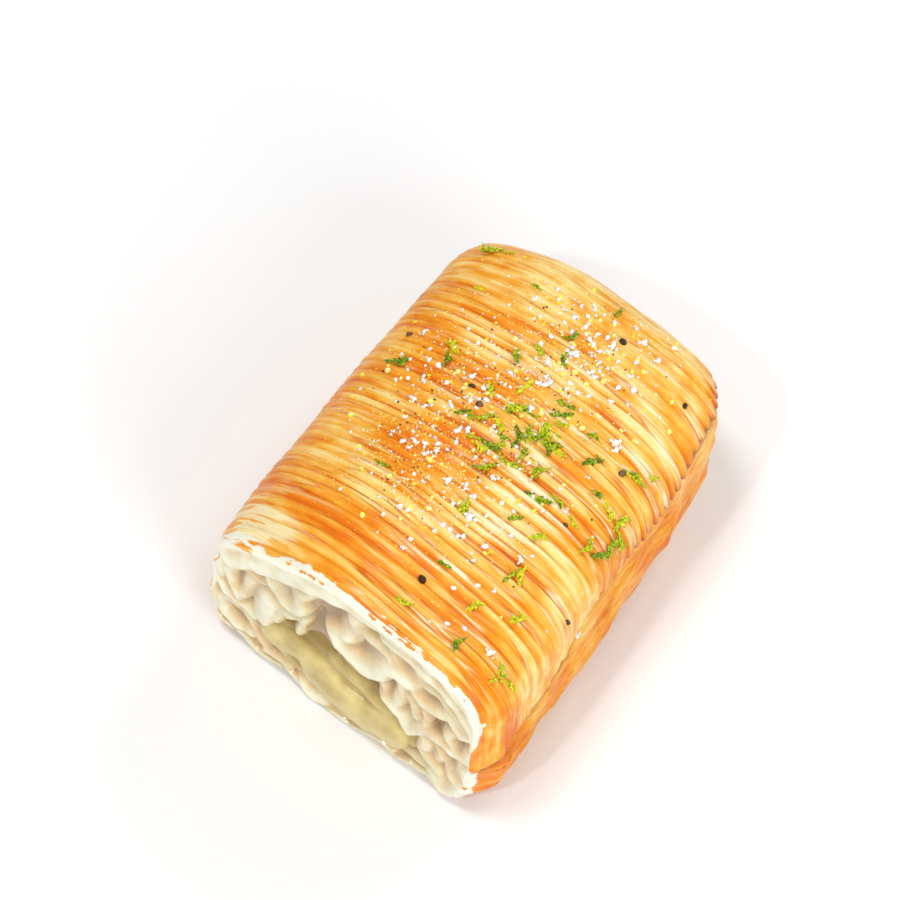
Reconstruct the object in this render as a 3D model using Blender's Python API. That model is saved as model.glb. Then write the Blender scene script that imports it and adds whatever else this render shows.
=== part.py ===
"""A scallion roll: a laminated bread roll with a cut end, its filling, and what is sprinkled on it.

The roll lies along Y with its cut end facing -Y and its rounded end facing +Y, on a flat base at
z = 0.  X runs across it, and the edge of the outer wrap shows as a seam on the +X side.  Places on
the crust are given as an arc length across the crown (positive towards the seam) and a distance
from the cut, measured along the crown.  All sizes are in metres.
"""
import math
import random

import bmesh
import bpy
import numpy as np
from mathutils import Matrix, Vector, noise

# --- the roll as a whole
LENGTH = 0.113              # along the roll, from the cut to the tip of the rounded end
WIDTH = 0.075
HEIGHT = 0.048
CUT_SLANT = math.radians(-6.6)      # the knife and the wraps run a little askew across the roll
WAIST_SEAM_SIDE = 0.028     # height at which the seam side is widest
WAIST_FAR_SIDE = 0.022      # the same on the far side
CROWN_WIDE_POWER = (2.7, 1.9)       # how square the crown is sideways: seam side, far side
CROWN_TALL_POWER = 3.1      # and how square it is upwards
BASE_POWER = 4.5            # how square the lower half is
PRESSED_FLAT = 0.0003       # the underside is flat up to this height of the plain section
END_RADIUS_TOP = 0.0205     # rounding of the closed end, over the top
END_RADIUS_LOW = 0.011      # and under it
END_CLOSE_SIDES = (0.62, 0.22)      # how far the seam side and the far side draw in there, 0 to 1
END_LAST_ANGLE = math.radians(74)   # where the rounding stops and the end's middle begins
END_MIDDLE = 0.42           # height of the end's middle, as a share of HEIGHT
END_BULGE = 0.0008          # the end's middle swells out by this much
END_SKEW = 0.0020           # the seam side reaches this much further than the roll's middle
END_SKEW_FROM = 0.070       # and that grows from here to the tip
SLUMP_MM = (                # how far the lower seam side has sunk outwards: distance from the cut, sag
    (0, 0.9), (6, 3.2), (28, 3.6), (46, 4.4), (64, 3.6), (82, 2.2), (100, 1.6), (113, 0.8),
)
SLUMP_HEIGHTS = (0.014, 0.034)      # it is full below the first height and gone above the second

# --- the ridges of the laminated dough
RIDGE_PITCH = 0.0028
RIDGE_UNEVEN = 0.35         # how much one ridge's width differs from the next, as a share
RIDGE_DEPTH = 0.00085       # crest to groove
RIDGE_SWAY = 0.0009         # how far a ridge wanders along the roll
RIDGE_FADE_HEIGHT = 0.007   # the ridges die out below this height
CRUST_SWELL = 0.0009        # slow swelling of the whole crust
SEED_RIDGES = 11

# --- the seam, where the outer wrap ends over the strip below it
SEAM_ARC_AT_CUT = 0.0550    # arc length from the crown down to the seam, at the cut
SEAM_CLIMB = 0.18           # how much the seam climbs for each metre along the roll
SEAM_DIP = 0.0035           # it dips by this much at the cut
SEAM_DIP_LENGTH = 0.010
SEAM_WAVE = 0.0011
SEAM_STEP = 0.0016          # how far the wrap stands out over the strip
SEAM_LIP = 0.0009           # height of the lip itself
STRIP_FLAKE = 0.0005        # lengthwise flakes on the strip
STRIP_FAIR = 0.012          # the strip comes back out over this arc length at the base

# --- the cut end
RIM_ROUND = 0.0012          # the crust's edge turns in by this much
PINCH_SEAM_SIDE = 0.0034    # the cut draws the seam side in by this much
PINCH_FAR_SIDE = 0.0005
PINCH_LENGTH = 0.0075       # and over this length
SHOULDER_DROP = 0.0032      # the torn far shoulder sits this much lower at the cut
SHOULDER_X = -0.024
SHOULDER_SPREAD = 0.013
HEM_LIFT_MM = (             # how high the ragged lower edge of the cut lifts: x, lift
    (-36, -5.0), (-32, 1.0), (-28, 3.6), (-24, 1.8), (-19, 2.8), (-15, 4.3), (-12, 2.4),
    (-8, 0.2), (-3, 0.6), (3, 0.8), (8, 3.0), (12, 3.9), (15, 2.3), (19, 3.7), (24, 3.6),
    (28, -2.0), (32, -5.0), (36, -9.0),
)
HEM_HEIGHT = 0.012          # nothing above this height lifts
HEM_LENGTH = 0.006          # and nothing further from the cut than this
CRUMB_SWELL = 0.0011        # folds and bumps between the hollows
CRUMB_PITCH = 0.0055

# hollows in the dough at the cut: x, z, half width, half height, depth, all in millimetres
HOLLOWS_MM = (
    (-3.0, 40.0, 3.8, 4.4, 4.4),
    (6.8, 41.6, 3.0, 2.0, 2.2),
    (6.0, 36.0, 3.4, 2.2, 3.2),
    (14.4, 38.0, 2.9, 2.3, 2.8),
    (21.5, 34.6, 3.4, 2.2, 2.4),
    (-6.4, 32.6, 2.4, 3.4, 3.4),
    (11.6, 29.0, 2.3, 2.7, 3.0),
    (24.0, 26.0, 2.9, 3.2, 2.6),
    (29.4, 21.0, 3.2, 1.9, 1.8),
    (28.0, 9.2, 3.2, 1.7, 2.2),
    (-14.0, 37.0, 3.0, 2.2, 2.2),
    (-23.0, 33.6, 2.8, 3.0, 3.0),
    (-29.6, 26.6, 2.8, 2.6, 2.4),
    (-19.6, 26.8, 2.6, 2.2, 2.0),
    (-28.8, 19.6, 3.4, 2.8, 2.6),
    (-28.5, 11.0, 3.2, 2.6, 1.8),
)

# --- the filling, a lens-shaped body that runs through the roll
FILLING_MIDDLE_X = -0.0015
FILLING_MIDDLE_Z = 0.0125
FILLING_HALF_WIDTH = 0.0220
FILLING_UP = 0.0120
FILLING_DOWN = 0.0100
FILLING_POINTED = 1.15      # how pointed the lens is at its left and right
FILLING_END = 0.094         # how far from the cut it ends inside the roll
FILLING_TAPER = 0.4         # how far it slims towards that end, as a share
FILLING_TAPER_LENGTH = 0.022
FILLING_SET_BACK = 0.0014   # how far its face lies behind the cut
FILLING_WAVE = 0.0011       # height of the waves on its face
FILLING_BELLY = 0.0009      # and how far the face's middle swells out
FILLING_FACE_RINGS = 5
FILLING_SIDES = 30
FILLING_ROWS = 9
FIT_GAP = 0.0003            # clearance between the filling and the dough
POCKET_OVERRUN = 0.010      # the pocket's cutter starts this far in front of the cut

# --- mesh fineness
ACROSS = 13                 # faces across the cut end, before they are refined
UPWARD = 5                  # faces up the cut end
CUT_REFINE = 2              # cuts through each of those faces
BASE_COLUMNS = 4
STRIP_COLUMNS = 6
OUTLINE_SAMPLES = 1200
RING = 2 * (ACROSS + UPWARD)    # columns round the roll
RING_SHIFT = 2              # columns between the strip's foot and the cut grid's first corner

# --- what is sprinkled on the crown
SEED_TOPPINGS = 5
TOPPING_CLEARANCE = 0.0004
SHRED_SIZE = (0.0046, 0.0011, 0.0010)       # length, width, thickness
SALT_SIZE = (0.0023, 0.0018, 0.0013)
PEPPER_SIZE = (0.0017, 0.0016, 0.0015)
CRUMB_SIZE = (0.0016, 0.0014, 0.0012)
# kind, count, middle (arc, along), spread (arc, along): the dense middle first
TOPPING_ZONES = (
    ("shred", 14, (0.005, 0.056), (0.0080, 0.0060)),
    ("shred", 4, (0.006, 0.068), (0.006, 0.004)),
    ("shred", 8, (0.029, 0.055), (0.006, 0.010)),
    ("shred", 6, (0.022, 0.024), (0.008, 0.013)),
    ("salt", 9, (0.004, 0.083), (0.010, 0.011)),
    ("salt", 11, (-0.004, 0.042), (0.014, 0.016)),
    ("pepper", 8, (0.004, 0.057), (0.019, 0.026)),
    ("crumb", 8, (0.000, 0.057), (0.016, 0.024)),
)
TOPPING_REACH_ARC = 0.036   # nothing lies further down the sides than this
TOPPING_REACH_ALONG = (0.008, 0.092)

STRAIGHT = LENGTH - END_RADIUS_TOP
SEAM_SIDE, FAR_SIDE = 1, -1


def clamp(value, low=0.0, high=1.0):
    return max(low, min(high, value))


def smooth(value):
    """Ease from 0 to 1."""
    t = clamp(value)
    return t * t * (3.0 - 2.0 * t)


def wobble(a, b, c=0.0):
    """Smooth noise between about -1 and 1."""
    return noise.noise(Vector((a, b, c))) * 1.6


# ---------------------------------------------------------------- the section

def section_outline():
    """The plain section as arc, x and z arrays, from the base's middle up the far side,
    over the crown and down the seam side; arc is 0 at the crown and grows towards the seam."""
    angles = np.linspace(-1.5 * math.pi, 0.5 * math.pi, OUTLINE_SAMPLES)
    across = np.sin(angles + math.pi)
    upward = np.cos(angles + math.pi)
    xs, zs = [], []
    for c, s in zip(across, upward):
        seam_side = c >= 0
        waist = WAIST_SEAM_SIDE if seam_side else WAIST_FAR_SIDE
        if s >= 0:
            wide_power = CROWN_WIDE_POWER[0 if seam_side else 1]
            tall_power = CROWN_TALL_POWER
            z = waist + (HEIGHT - waist) * abs(s) ** (2 / tall_power)
        else:
            wide_power = BASE_POWER
            z = waist - waist * abs(s) ** (2 / BASE_POWER)
        xs.append(math.copysign(abs(c) ** (2 / wide_power), c) * WIDTH / 2)
        zs.append(z)
    xs, zs = np.array(xs), np.maximum(np.array(zs) - PRESSED_FLAT, 0.0)
    # the angles start at the crown; roll the list so that it starts at the base's middle
    start = int(np.argmin(np.where(zs == 0.0, np.abs(xs), WIDTH)))
    xs, zs = np.roll(xs[:-1], -start), np.roll(zs[:-1], -start)
    if xs[OUTLINE_SAMPLES // 8] > 0:
        xs, zs = xs[::-1], zs[::-1]
    xs, zs = np.append(xs, xs[0]), np.append(zs, zs[0])
    travel = np.concatenate([[0.0], np.cumsum(np.hypot(np.diff(xs), np.diff(zs)))])
    crown = travel[int(np.argmax(zs))]
    return travel - crown, xs, zs


ARCS, OUTLINE_X, OUTLINE_Z = section_outline()
GIRTH = ARCS[-1] - ARCS[0]


def wrap_arc(arc):
    """Bring an arc length that has gone past the base's middle back into the outline's range."""
    while arc < ARCS[0]:
        arc += GIRTH
    while arc > ARCS[-1]:
        arc -= GIRTH
    return arc


def outline_at(arc):
    arc = wrap_arc(arc)
    return Vector((np.interp(arc, ARCS, OUTLINE_X), np.interp(arc, ARCS, OUTLINE_Z)))


def outline_normal(arc):
    """Outward normal of the section at an arc length."""
    step = 0.0006
    along = outline_at(arc + step) - outline_at(arc - step)
    return Vector((-along.y, along.x)).normalized()


def base_corner(side):
    """Arc length at which the outline leaves the flat base, on one side."""
    arcs = ARCS[(OUTLINE_X * side > 0) & (OUTLINE_Z > 0.0)]
    return arcs.max() if side == SEAM_SIDE else arcs.min()


NEAR_CORNER = base_corner(SEAM_SIDE)
FAR_CORNER = base_corner(FAR_SIDE)


def seam_arc(along):
    """Arc length of the seam: it climbs towards the closed end in small waves."""
    wave = math.sin(along / 0.0085) * 0.6 + math.sin(along / 0.0037 + 1.0) * 0.4
    dip = SEAM_DIP * smooth(1 - along / SEAM_DIP_LENGTH)
    return SEAM_ARC_AT_CUT - SEAM_CLIMB * along + SEAM_WAVE * wave + dip


# ---------------------------------------------------------------- the crust

def ridge_rows():
    """Distance from the cut of each crest (level 1) and groove (level -1), and of the plain
    rows at both ends (level 0)."""
    rng = random.Random(SEED_RIDGES)
    reach = STRAIGHT + END_RADIUS_TOP * END_LAST_ANGLE
    along = 2 * RIM_ROUND
    rows = [(0.0, 0), (RIM_ROUND, 0)]
    while along < reach - RIDGE_PITCH:
        width = RIDGE_PITCH * (1 + RIDGE_UNEVEN * rng.uniform(-1, 1))
        rows.append((along, -1))
        rows.append((along + width / 2, 1))
        along += width
    rows.append((reach, 0))
    return rows


ROWS = ridge_rows()
REACH = ROWS[-1][0]


def crust_point(arc, along, relief=0.0):
    """A point of the roll's outside; relief stands it out from the plain form."""
    flat = outline_at(arc)
    normal = outline_normal(arc)
    x, z = flat.x, flat.y
    y = min(along, STRAIGHT)
    middle = HEIGHT * END_MIDDLE

    # the closed end rounds over the top, under the base and in from the sides
    angle = clamp((along - STRAIGHT) / END_RADIUS_TOP, 0.0, END_LAST_ANGLE)
    y += END_RADIUS_TOP * math.sin(angle)
    low_sweep = clamp((y - (LENGTH - END_RADIUS_LOW)) / END_RADIUS_LOW)
    low_angle = math.asin(low_sweep)
    turned = angle if z > middle else low_angle
    z = middle + (z - middle) * math.cos(turned)
    x *= 1 - END_CLOSE_SIDES[0 if x >= 0 else 1] * (1 - math.cos(angle))
    x += relief * normal.x * math.cos(angle)
    y += relief * math.sin(angle)
    z += relief * normal.y * math.cos(turned)

    # the soft side sinks outwards under the seam, and the closed end leans a little
    share = clamp(x / (WIDTH / 2), -1, 1)
    low = 1 - smooth((z - SLUMP_HEIGHTS[0]) / (SLUMP_HEIGHTS[1] - SLUMP_HEIGHTS[0]))
    x += np.interp(y * 1000, *zip(*SLUMP_MM)) / 1000 * low * max(share, 0) ** 2
    y += END_SKEW * share * clamp((y - END_SKEW_FROM) / (LENGTH - END_SKEW_FROM))

    # the cut pinches the sides, and its far shoulder has torn and sunk
    near_cut = smooth(1 - along / PINCH_LENGTH)
    x -= near_cut * (PINCH_SEAM_SIDE * max(share, 0) ** 4 - PINCH_FAR_SIDE * max(-share, 0) ** 4)
    if z > middle:
        shoulder = math.exp(-((x - SHOULDER_X) / SHOULDER_SPREAD) ** 2)
        z -= near_cut * SHOULDER_DROP * shoulder * (z - middle) / (HEIGHT - middle)

    # the lower edge of the cut is ragged and lifts off the base
    hem = smooth(1 - along / HEM_LENGTH) * smooth(1 - z / HEM_HEIGHT)
    z += hem * np.interp(x * 1000, *zip(*HEM_LIFT_MM)) / 1000
    return Vector((x, y, max(z, 0.0)))


def ridge_relief(arc, along, level):
    """Height of the ridges, which fade, swell and run into each other here and there."""
    strength = 0.68 + 0.45 * wobble(arc * 55, along * 330, 3.0)
    return level * RIDGE_DEPTH / 2 * clamp(strength, -0.15, 1.1)


def crust_relief(arc, along, level=0.0):
    """How far the crust stands out from the plain form."""
    arc = wrap_arc(arc)
    above_base = smooth(outline_at(arc).y / RIDGE_FADE_HEIGHT)
    at_rest = smooth((REACH - along) / END_RADIUS_TOP * 2)
    swell = CRUST_SWELL * wobble(arc * 38, along * 30, 7.0) * above_base * at_rest
    if arc > seam_arc(along):
        depth = SEAM_STEP * smooth((NEAR_CORNER - arc) / STRIP_FAIR) * at_rest
        flakes = STRIP_FLAKE * wobble(arc * 420, along * 60, 9.0) * above_base * at_rest
        return swell + flakes - depth
    return swell + ridge_relief(arc, along, level) * above_base


def column_arc(column, along):
    """Arc length of a column of the mesh: up the strip, over the wrap from the seam's lip to
    the far corner of the base, and along the base."""
    seam = seam_arc(along)
    wrap_columns = RING - BASE_COLUMNS - STRIP_COLUMNS
    if column < STRIP_COLUMNS:
        share = column / (STRIP_COLUMNS - 1)
        return NEAR_CORNER + (seam + SEAM_LIP / 2 - NEAR_CORNER) * share
    column -= STRIP_COLUMNS
    if column < wrap_columns:
        share = column / (wrap_columns - 1)
        return (seam - SEAM_LIP / 2) * (1 - share) + FAR_CORNER * share
    column -= wrap_columns
    share = (column + 1) / (BASE_COLUMNS + 1)
    return FAR_CORNER * (1 - share) + (NEAR_CORNER - GIRTH) * share


def ring_point(column, row):
    """Where the mesh's column and row meet on the outside."""
    along, level = ROWS[row]
    arc = column_arc(column % RING, along)
    settled = smooth(along / 0.006) * smooth((REACH - along) / 0.006)
    along += RIDGE_SWAY * wobble(arc * 26, along * 45, 1.0) * settled
    relief = crust_relief(arc, along, level)
    if row == 0:
        relief -= RIM_ROUND * smooth(outline_at(arc).y / RIDGE_FADE_HEIGHT)
    return crust_point(arc, along, relief)


# ---------------------------------------------------------------- the cut end

def cut_relief(x, z):
    """How far the cut end's surface lies behind the knife's plane: hollows and folds."""
    depth = 0.0
    for hx, hz, half_width, half_height, deep in HOLLOWS_MM:
        dx = (x * 1000 - hx) / half_width
        dz = (z * 1000 - hz) / half_height
        depth += deep / 1000 * math.exp(-(dx * dx + dz * dz) ** 1.4)
    folds = wobble(x / CRUMB_PITCH, z / CRUMB_PITCH * 1.3, 2.0)
    return depth + CRUMB_SWELL * folds


def square_ring_index(i, k):
    """Position round the edge of the cut end's grid, up the seam side first."""
    if i == ACROSS:
        return k
    if k == UPWARD:
        return UPWARD + (ACROSS - i)
    if i == 0:
        return UPWARD + ACROSS + (UPWARD - k)
    return 2 * UPWARD + ACROSS + i


def patch_point(ring, u, v):
    """A point inside a ring of points, blended from its four sides."""
    def side(index):
        low = int(math.floor(index + 1e-6))
        part = clamp(index - low)
        a, b = ring[low % len(ring)], ring[(low + 1) % len(ring)]
        return a.lerp(b, part)

    right = side(v * UPWARD)
    top = side(UPWARD + (1 - u) * ACROSS)
    left = side(UPWARD + ACROSS + (1 - v) * UPWARD)
    bottom = side(2 * UPWARD + ACROSS + u * ACROSS)
    c00, c10 = ring[2 * UPWARD + ACROSS], ring[0]
    c11, c01 = ring[UPWARD], ring[UPWARD + ACROSS]
    corners = (c00 * (1 - u) * (1 - v) + c10 * u * (1 - v) + c11 * u * v + c01 * (1 - u) * v)
    return left * (1 - u) + right * u + bottom * (1 - v) + top * v - corners


def slanted(point):
    """Lean a point along the roll as the slanted cut does."""
    return Vector((point.x, point.y + point.x * math.tan(CUT_SLANT), point.z))


def gridded_block(across, along, upward):
    """A unit cube whose faces are cut into a grid, with corners at -0.5 and 0.5."""
    bm = bmesh.new()
    bmesh.ops.create_cube(bm, size=1.0)
    for axis, parts in ((0, across), (1, along), (2, upward)):
        edges = [e for e in bm.edges
                 if abs(e.verts[0].co[axis] - e.verts[1].co[axis]) > 0.5]
        bmesh.ops.subdivide_edges(bm, edges=edges, cuts=parts - 1, use_grid_fill=True)
    return bm


def refine_cut_face(bm):
    """Make the faces of the cut end finer, but not the ring that joins it to the crust."""
    on_cut = {v for v in bm.verts if v.co.y < -0.5 + 1e-4}
    inner = [e for e in bm.edges
             if e.verts[0] in on_cut and e.verts[1] in on_cut
             and not all(abs(abs(v.co.x) - 0.5) < 1e-4 or abs(abs(v.co.z) - 0.5) < 1e-4
                         for v in e.verts)]
    bmesh.ops.subdivide_edges(bm, edges=inner, cuts=CUT_REFINE, use_grid_fill=True)


def make_dough_mesh():
    """The roll's outside and its cut end, from a gridded block."""
    last_row = len(ROWS) - 1
    cut_ring = [ring_point(column + RING_SHIFT, 0) for column in range(RING)]
    end_ring = [ring_point(column + RING_SHIFT, last_row) for column in range(RING)]
    bm = gridded_block(ACROSS, last_row, UPWARD)
    refine_cut_face(bm)
    for vert in bm.verts:
        u, along, v = (c + 0.5 for c in vert.co)
        row = int(round(along * last_row))
        outside = min(u, 1 - u) < 1e-4 or min(v, 1 - v) < 1e-4
        if outside:
            column = square_ring_index(int(round(u * ACROSS)), int(round(v * UPWARD)))
            vert.co = ring_point(column + RING_SHIFT, row)
        elif row == 0:
            vert.co = patch_point(cut_ring, u, v)
            edge = smooth(min(u, 1 - u, v * 1.6, (1 - v) * 1.2) / 0.10)
            vert.co.y += cut_relief(vert.co.x, vert.co.z) * edge
        else:
            vert.co = patch_point(end_ring, u, v)
            vert.co.y += END_BULGE * math.sin(math.pi * u) * math.sin(math.pi * v)
    for vert in bm.verts:
        vert.co = slanted(vert.co)
    bmesh.ops.triangulate(bm, faces=bm.faces, quad_method="SHORT_EDGE")
    bmesh.ops.recalc_face_normals(bm, faces=bm.faces)
    return mesh_from(bm, "dough")


# ---------------------------------------------------------------- the filling

def lens_point(angle, scale, grow):
    """A point of the filling's lens-shaped section, scaled about its middle and grown outwards."""
    rise = FILLING_UP if math.sin(angle) > 0 else FILLING_DOWN
    across = math.cos(angle)
    upward = math.copysign(abs(math.sin(angle)) ** FILLING_POINTED, math.sin(angle))
    return (FILLING_MIDDLE_X + (FILLING_HALF_WIDTH * scale + grow) * across,
            FILLING_MIDDLE_Z + (rise * scale + grow) * upward)


def filling_face_relief(x, z):
    """Three smooth lobes along the filling's face, with creases between them."""
    rise = (z - FILLING_MIDDLE_Z) - 0.18 * (x - FILLING_MIDDLE_X)
    lobes = math.cos(rise / 0.0016 * 0.55 + 1.6 * math.sin(x / 0.0085))
    slow = wobble(x * 75, z * 90, 5.0)
    return FILLING_WAVE * (0.6 * lobes + 0.8 * slow)


def make_lens_mesh(name, grow=0.0, overrun=0.0, face_relief=None):
    """A lens-shaped bar along the roll, tapered at its back.  It can be grown all round and
    overrun the cut, to cut the pocket for the filling, or have a wavy face."""
    bm = bmesh.new()
    bmesh.ops.create_cone(bm, cap_ends=True, segments=FILLING_SIDES,
                          radius1=1.0, radius2=1.0, depth=1.0)
    long_edges = [e for e in bm.edges if abs(e.verts[0].co.z - e.verts[1].co.z) > 0.5]
    bmesh.ops.subdivide_edges(bm, edges=long_edges, cuts=FILLING_ROWS - 1, use_grid_fill=True)
    if face_relief:
        for step in range(FILLING_FACE_RINGS):
            cap = [f for f in bm.faces if len(f.verts) == FILLING_SIDES and f.normal.z < 0]
            bmesh.ops.inset_region(bm, faces=cap, thickness=1 / (FILLING_FACE_RINGS + 1),
                                   use_even_offset=False)
    for vert in bm.verts:
        radius = math.hypot(vert.co.x, vert.co.y)
        angle = math.atan2(vert.co.y, vert.co.x)
        share = vert.co.z + 0.5
        along = FILLING_SET_BACK + (FILLING_END - FILLING_SET_BACK) * share
        taper = 1 - FILLING_TAPER * smooth(1 - (FILLING_END - along) / FILLING_TAPER_LENGTH)
        x, z = lens_point(angle, radius * taper, grow)
        if share < 1e-4:
            along -= overrun
            if face_relief:
                along += face_relief(x, z) - FILLING_BELLY * (1 - radius ** 3)
        if share > 1 - 1e-4:
            along += grow
        vert.co = slanted(Vector((x, along, z)))
    bmesh.ops.triangulate(bm, faces=bm.faces)
    bmesh.ops.recalc_face_normals(bm, faces=bm.faces)
    return mesh_from(bm, name)


# ---------------------------------------------------------------- what is sprinkled on it

def crust_frame(arc, along):
    """Matrix that stands a thing on the crust: its X runs across, its Y along, its Z outwards."""
    step = 0.0012
    here = slanted(crust_point(arc, along, crust_relief(arc, along)))
    across = slanted(crust_point(arc + step, along)) - slanted(crust_point(arc - step, along))
    ahead = slanted(crust_point(arc, along + step)) - slanted(crust_point(arc, along - step))
    up = across.cross(ahead).normalized()
    side = across.normalized()
    forward = up.cross(side)
    axes = Matrix((side, forward, up)).transposed().to_4x4()
    return Matrix.Translation(here) @ axes


def shred_mesh(rng):
    """A bent, tapering strip of green."""
    length, width, thick = SHRED_SIZE
    length *= rng.uniform(0.75, 1.3)
    bend = rng.uniform(-0.0009, 0.0009)
    bm = bmesh.new()
    bmesh.ops.create_cube(bm, size=1.0)
    long_edges = [e for e in bm.edges if abs(e.verts[0].co.x - e.verts[1].co.x) > 0.5]
    bmesh.ops.subdivide_edges(bm, edges=long_edges, cuts=2, use_grid_fill=True)
    for vert in bm.verts:
        share = vert.co.x * 2
        slim = 1 - 0.45 * share * share
        vert.co = Vector((vert.co.x * length, vert.co.y * width * slim + bend * (1 - share * share),
                          vert.co.z * thick + 0.0001))
    return bm


def grain_mesh(size, uneven, rng):
    """A grain with twenty uneven faces."""
    bm = bmesh.new()
    bmesh.ops.create_icosphere(bm, subdivisions=1, radius=0.5)
    for vert in bm.verts:
        stretch = 1 + uneven * rng.uniform(-1, 1)
        vert.co = Vector((vert.co.x * size[0], vert.co.y * size[1], vert.co.z * size[2])) * stretch
    return bm


def topping_mesh(kind, rng):
    scale = rng.uniform(0.85, 1.25)
    if kind == "shred":
        return shred_mesh(rng)
    if kind == "salt":
        return grain_mesh([s * scale for s in SALT_SIZE], 0.22, rng)
    if kind == "pepper":
        return grain_mesh(PEPPER_SIZE, 0.10, rng)
    return grain_mesh(CRUMB_SIZE, 0.16, rng)


def topping_reach(kind):
    sizes = {"shred": SHRED_SIZE, "salt": SALT_SIZE, "pepper": PEPPER_SIZE, "crumb": CRUMB_SIZE}
    return sizes[kind][0] * 0.62


def topping_places(rng):
    """Kind, arc, distance along and turn of every piece, none touching another."""
    placed = []
    for kind, count, middle, spread in TOPPING_ZONES:
        made = 0
        for attempt in range(count * 60):
            if made == count:
                break
            arc = rng.gauss(middle[0], spread[0])
            along = rng.gauss(middle[1], spread[1])
            turn = rng.uniform(0, math.pi)
            nearest, furthest = TOPPING_REACH_ALONG
            if abs(arc) > TOPPING_REACH_ARC or not nearest < along < furthest:
                continue
            room = topping_reach(kind) + TOPPING_CLEARANCE
            if any(math.hypot(arc - a, along - b) < room + topping_reach(other)
                   for other, a, b, t in placed):
                continue
            placed.append((kind, arc, along, turn))
            made += 1
    return placed


def scatter_toppings(collection):
    rng = random.Random(SEED_TOPPINGS)
    for number, (kind, arc, along, turn) in enumerate(topping_places(rng)):
        bm = topping_mesh(kind, rng)
        place = crust_frame(arc, along) @ Matrix.Rotation(turn, 4, "Z")
        bmesh.ops.transform(bm, matrix=place, verts=bm.verts)
        bmesh.ops.triangulate(bm, faces=bm.faces)
        add_object(mesh_from(bm, "topping_%s_%02d" % (kind, number)), collection)


# ---------------------------------------------------------------- objects and materials

def mesh_from(bm, name):
    mesh = bpy.data.meshes.new(name)
    bm.to_mesh(mesh)
    bm.free()
    return mesh


def add_object(mesh, collection, name=None):
    obj = bpy.data.objects.new(name or mesh.name, mesh)
    collection.objects.link(obj)
    return obj


def new_collection(name):
    collection = bpy.data.collections.new(name)
    bpy.context.scene.collection.children.link(collection)
    return collection


def new_material(name, color, roughness):
    material = bpy.data.materials.new(name)
    material.use_nodes = True
    shader = material.node_tree.nodes["Principled BSDF"]
    shader.inputs["Base Color"].default_value = (*color, 1.0)
    shader.inputs["Roughness"].default_value = roughness
    shader.inputs["Metallic"].default_value = 0.0
    material.diffuse_color = (*color, 1.0)
    return material


def apply_modifier(obj, modifier):
    with bpy.context.temp_override(object=obj, active_object=obj):
        bpy.ops.object.modifier_apply(modifier=modifier.name)


def cut_pocket(dough, cutter):
    cut = dough.modifiers.new("filling pocket", "BOOLEAN")
    cut.operation = "DIFFERENCE"
    cut.solver = "EXACT"
    cut.object = cutter
    apply_modifier(dough, cut)


def fuse_toppings(dough, toppings):
    fuse = dough.modifiers.new("toppings", "BOOLEAN")
    fuse.operation = "UNION"
    fuse.solver = "EXACT"
    fuse.operand_type = "COLLECTION"
    fuse.collection = toppings
    apply_modifier(dough, fuse)
    for obj in list(toppings.objects):
        bpy.data.objects.remove(obj)
    bpy.data.collections.remove(toppings)


def drop_scraps(obj):
    """Keep the largest body of the mesh and delete sealed hollows and loose scraps."""
    bm = bmesh.new()
    bm.from_mesh(obj.data)
    bmesh.ops.remove_doubles(bm, verts=bm.verts, dist=2e-6)
    unseen = set(bm.faces)
    bodies = []
    while unseen:
        body, front = set(), [unseen.pop()]
        while front:
            face = front.pop()
            body.add(face)
            for edge in face.edges:
                for other in edge.link_faces:
                    if other in unseen:
                        unseen.remove(other)
                        front.append(other)
        bodies.append(body)
    bodies.sort(key=len)
    scraps = [face for body in bodies[:-1] for face in body]
    bmesh.ops.delete(bm, geom=scraps, context="FACES")
    bmesh.ops.triangulate(bm, faces=bm.faces)
    bm.to_mesh(obj.data)
    bm.free()


def centre_on_base(roll, cutters):
    """Move the meshes so that the origin is the middle of the roll's base."""
    corners = np.array([v.co for obj in roll for v in obj.data.vertices])
    low, high = corners.min(axis=0), corners.max(axis=0)
    shift = Matrix.Translation((-(low[0] + high[0]) / 2, -(low[1] + high[1]) / 2, -low[2]))
    for obj in roll + cutters:
        obj.data.transform(shift)


def main():
    for obj in list(bpy.data.objects):
        bpy.data.objects.remove(obj)

    roll = new_collection("scallion_roll")
    cutters = new_collection("cutters")
    toppings = new_collection("toppings")

    pastry = add_object(make_dough_mesh(), roll, "pastry")
    pastry.data.materials.append(new_material("crust", (0.76, 0.40, 0.13), 0.42))
    pocket = add_object(make_lens_mesh("pocket", FIT_GAP, POCKET_OVERRUN), cutters)
    pocket.hide_render = True
    pocket.display_type = "WIRE"
    cut_pocket(pastry, pocket)
    scatter_toppings(toppings)
    fuse_toppings(pastry, toppings)
    drop_scraps(pastry)

    filling = add_object(make_lens_mesh("filling", face_relief=filling_face_relief), roll)
    filling.data.materials.append(new_material("filling", (0.70, 0.62, 0.36), 0.45))
    centre_on_base([pastry, filling], [pocket])


main()
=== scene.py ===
import math
import random

import bpy
import numpy as np
from mathutils import Matrix, Vector, noise
from mathutils.bvhtree import BVHTree


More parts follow.
